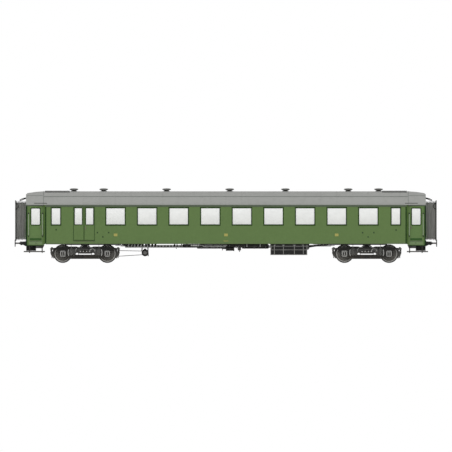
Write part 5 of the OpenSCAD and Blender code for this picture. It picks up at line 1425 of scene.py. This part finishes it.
    # brake rigging: pins and adjusters
    k = Kit()
    for d in (1, -1):
        x = P + d * 1.85
        for y in (-0.79, -0.40, 0.0, 0.40, 0.79):
            k.rev([(0.0235, -0.012), (0.032, -0.012), (0.032, 0.012), (0.0235, 0.012)], (x, y, 0.30), (0, 1, 0), 0, 24)
        # pin heads and adjusters in light grey as a painted highlight
        for sy in (1, -1):
            for z in (0.785, 0.50, 0.305):
                xx = P + d * (1.89 if z > 0.7 else 1.865 if z > 0.4 else 1.85)
                k.rev([(0, 0), (0.030, 0), (0.030, 0.006), (0.018, 0.008), (0.018, 0.022), (0, 0.023)], (xx, sy * 0.790, z), (0, sy, 0), 1, 20)
                k.rev([(0, 0), (0.030, 0), (0.030, 0.006), (0, 0.008)], (xx, sy * 0.745, z), (0, -sy, 0), 1, 20)
            k.box((P + d * 1.815, sy * 0.742, 0.47), (P + d * 1.845, sy * 0.793, 0.56), 1)
            k.rev([(0, 0), (0.072, 0), (0.072, 0.012), (0.046, 0.018), (0.034, 0.018), (0.034, 0.032), (0, 0.034)], (P + d * 1.850, sy * 0.789, 0.515), (0, sy, 0), 0, 28)
    piece(e_ + "_brake_pins", k, [black_grey, light_line], body, bevel=0.0015)

for w_, x0 in WHEELSETS:
    k = Kit()
    for sy in (1, -1):
        # retaining ring of the tyre, raised ring in the wheel's dish, rings of the hub, holes' rims; the retaining ring
        # near-white and the others light grey, as painted highlights for the lit wheel
        k.rev([(0.416, 0), (0.454, 0), (0.454, 0.004), (0.450, 0.006), (0.420, 0.006), (0.416, 0.004)], (x0, sy * 0.8145, AXLE_Z), (0, sy, 0), 2, 72)
        k.torus((x0, sy * 0.764, AXLE_Z), (0, sy, 0), 0.315, 0.0130, 1, 64, 8)
        k.torus((x0, sy * 0.768, AXLE_Z), (0, sy, 0), 0.225, 0.0100, 1, 56, 8)
        k.rev([(0.060, 0), (0.074, 0.001), (0.074, 0.010), (0.060, 0.014)], (x0, sy * 0.868, AXLE_Z), (0, sy, 0), 1, 40)
        for i in range(4):
            a = radians(45 + 90 * i)
            k.rivet((x0 + 0.115 * cos(a), sy * 0.847, AXLE_Z + 0.115 * sin(a)), (0, sy, 0), 0.012, 0.008, 1)
        k.torus((x0, sy * 0.733, AXLE_Z), (0, 1, 0), 0.158, 0.006, 0, 48, 6)
    piece(w_ + "_rings", k, [black_grey, light_line, wheel_ring], w_ + "_body", bevel=0)

# ------------------------------------------------------------------ inside

k = Kit()
BAYS = [WIN_X0 - WIN_P / 2 + i * WIN_P for i in range(10)]
FLOOR = 1.24
for sy in (1, -1):
    for i in range(10):
        for d, ok, off in ((1, i < 9, -0.052 if i == 0 else 0.008), (-1, i > 0, -0.052 if i == 9 else 0.008)):
            if not ok:
                continue
            x = BAYS[i] + d * off
            y0, y1 = sy * 0.345, sy * (HALF_W - 0.075)
            for j in range(7):
                a = 0.108 + j * 0.053
                z = FLOOR + 0.4405 + (a - 0.095) * 0.04
                k.prism([(x + d * a, z - 0.002), (x + d * (a + 0.043), z - 0.0005), (x + d * (a + 0.043), z + 0.009), (x + d * a, z + 0.009)], "y", y0, y1, 0)
            for j in range(9):
                z = 0.53 + j * 0.072
                f = (z - 0.47) / 0.72
                xb = 0.090 - 0.060 * f if z > 0.47 else 0.09
                xb = 0.090 + (0.062 - 0.090) * min(1, (z - 0.47) / 0.23) if z < 0.70 else 0.062 + (0.030 - 0.062) * (z - 0.70) / 0.49
                zt = z + 0.058
                xt = 0.090 + (0.062 - 0.090) * min(1, (zt - 0.47) / 0.23) if zt < 0.70 else 0.062 + (0.030 - 0.062) * min(1, (zt - 0.70) / 0.49)
                k.prism([(x + d * (xb - 0.002), FLOOR + z), (x + d * (xb + 0.010), FLOOR + z), (x + d * (xt + 0.010), FLOOR + zt), (x + d * (xt - 0.002), FLOOR + zt)], "y", y0, y1, 0)
            # end handle at the aisle and two small blocks on the floor
            ya = sy * 0.334
            k.tube([(x + d * 0.030, ya, FLOOR + 1.15), (x + d * 0.040, ya - sy * 0.030, FLOOR + 1.16), (x + d * 0.046, ya - sy * 0.030, FLOOR + 1.06), (x + d * 0.044, ya, FLOOR + 1.05)], 0.009, 1, 10)
            for xx in (0.02, 0.41):
                k.box((x + d * (xx - 0.012), ya, FLOOR + 0.001), (x + d * (xx + 0.012), ya - sy * 0.008, FLOOR + 0.012), 1)
piece("bench_slats", k, [bench_wood, brass], BODY, bevel=0.002)

k = Kit()
for sy in (1, -1):
    for x in SALOON:
        for d in (-0.70, 0.0, 0.70):
            k.tube([(x + d, sy * 1.386, 3.02), (x + d, sy * 1.37, 3.05), (x + d, sy * 1.28, 3.12), (x + d, sy * 1.14, 3.150)], 0.01, 0, flat=(0.009, 0.004, (0, 0, 1)))
            k.tube([(x + d, sy * 1.09, 3.175), (x + d, sy * 1.075, 3.20), (x + d, sy * 1.075, 3.235)], 0.008, 0, 8)
        k.cyl((x - 0.78, sy * 1.075, 3.235), (x + 0.78, sy * 1.075, 3.235), 0.0095, 0, 12)
        k.cyl((x - 0.78, sy * 1.080, 3.195), (x + 0.78, sy * 1.080, 3.195), 0.0060, 0, 10)
for x in [-8.4] + BAYS + [8.4]:
    # ceiling lamps: base plate, glass bowl, rim
    k.rev([(0, 0.002), (0.150, 0.002), (0.150, -0.018), (0.130, -0.026), (0, -0.026)], (x + 0.44, 0, EAVES + RISE - 0.0555), (0, 0, 1), 0, 36)
    k.rev([(0, -0.024), (0.122, -0.024), (0.118, -0.052), (0.095, -0.082), (0.055, -0.100), (0, -0.106)], (x + 0.44, 0, EAVES + RISE - 0.0555), (0, 0, 1), 1, 36)
piece("rack_rails_and_lamps", k, [rack_metal, glass_mat], BODY, bevel=0)

# floor grids at the entrances and skirting along the walls
k = Kit()
for sx in (1, -1):
    for sy in (1, -1):
        for i in range(9):
            k.box((sx * (DOOR_X - 0.32 + 0.075 * i), sy * 0.95, FLOOR - 0.002), (sx * (DOOR_X - 0.32 + 0.075 * i + 0.030), sy * 1.20, FLOOR + 0.005), 0)
for sy in (1, -1):
    k.box((-8.85, sy * (HALF_W - 0.063), FLOOR + 0.001), (8.85, sy * (HALF_W - 0.072), FLOOR + 0.11), 1)
for x in (LUG_X,):
    k.box((x - 0.030, -0.030, FLOOR - 0.001), (x + 0.030, 0.030, EAVES + RISE - 0.060), 1)
    k.box((x - 0.030, -0.75, FLOOR + 0.60), (x + 0.030, 0.75, FLOOR + 0.66), 1)
    k.box((x - 0.030, -0.75, FLOOR + 1.25), (x + 0.030, 0.75, FLOOR + 1.31), 1)
    for y in (-0.72, 0.72):
        k.box((x - 0.028, y - 0.028, FLOOR - 0.001), (x + 0.028, y + 0.028, EAVES + 0.46), 1)
piece("floor_trims", k, [steel_dark, panel_wood], BODY, bevel=0.002)

# ------------------------------------------------------------------ sizes

lo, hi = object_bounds()
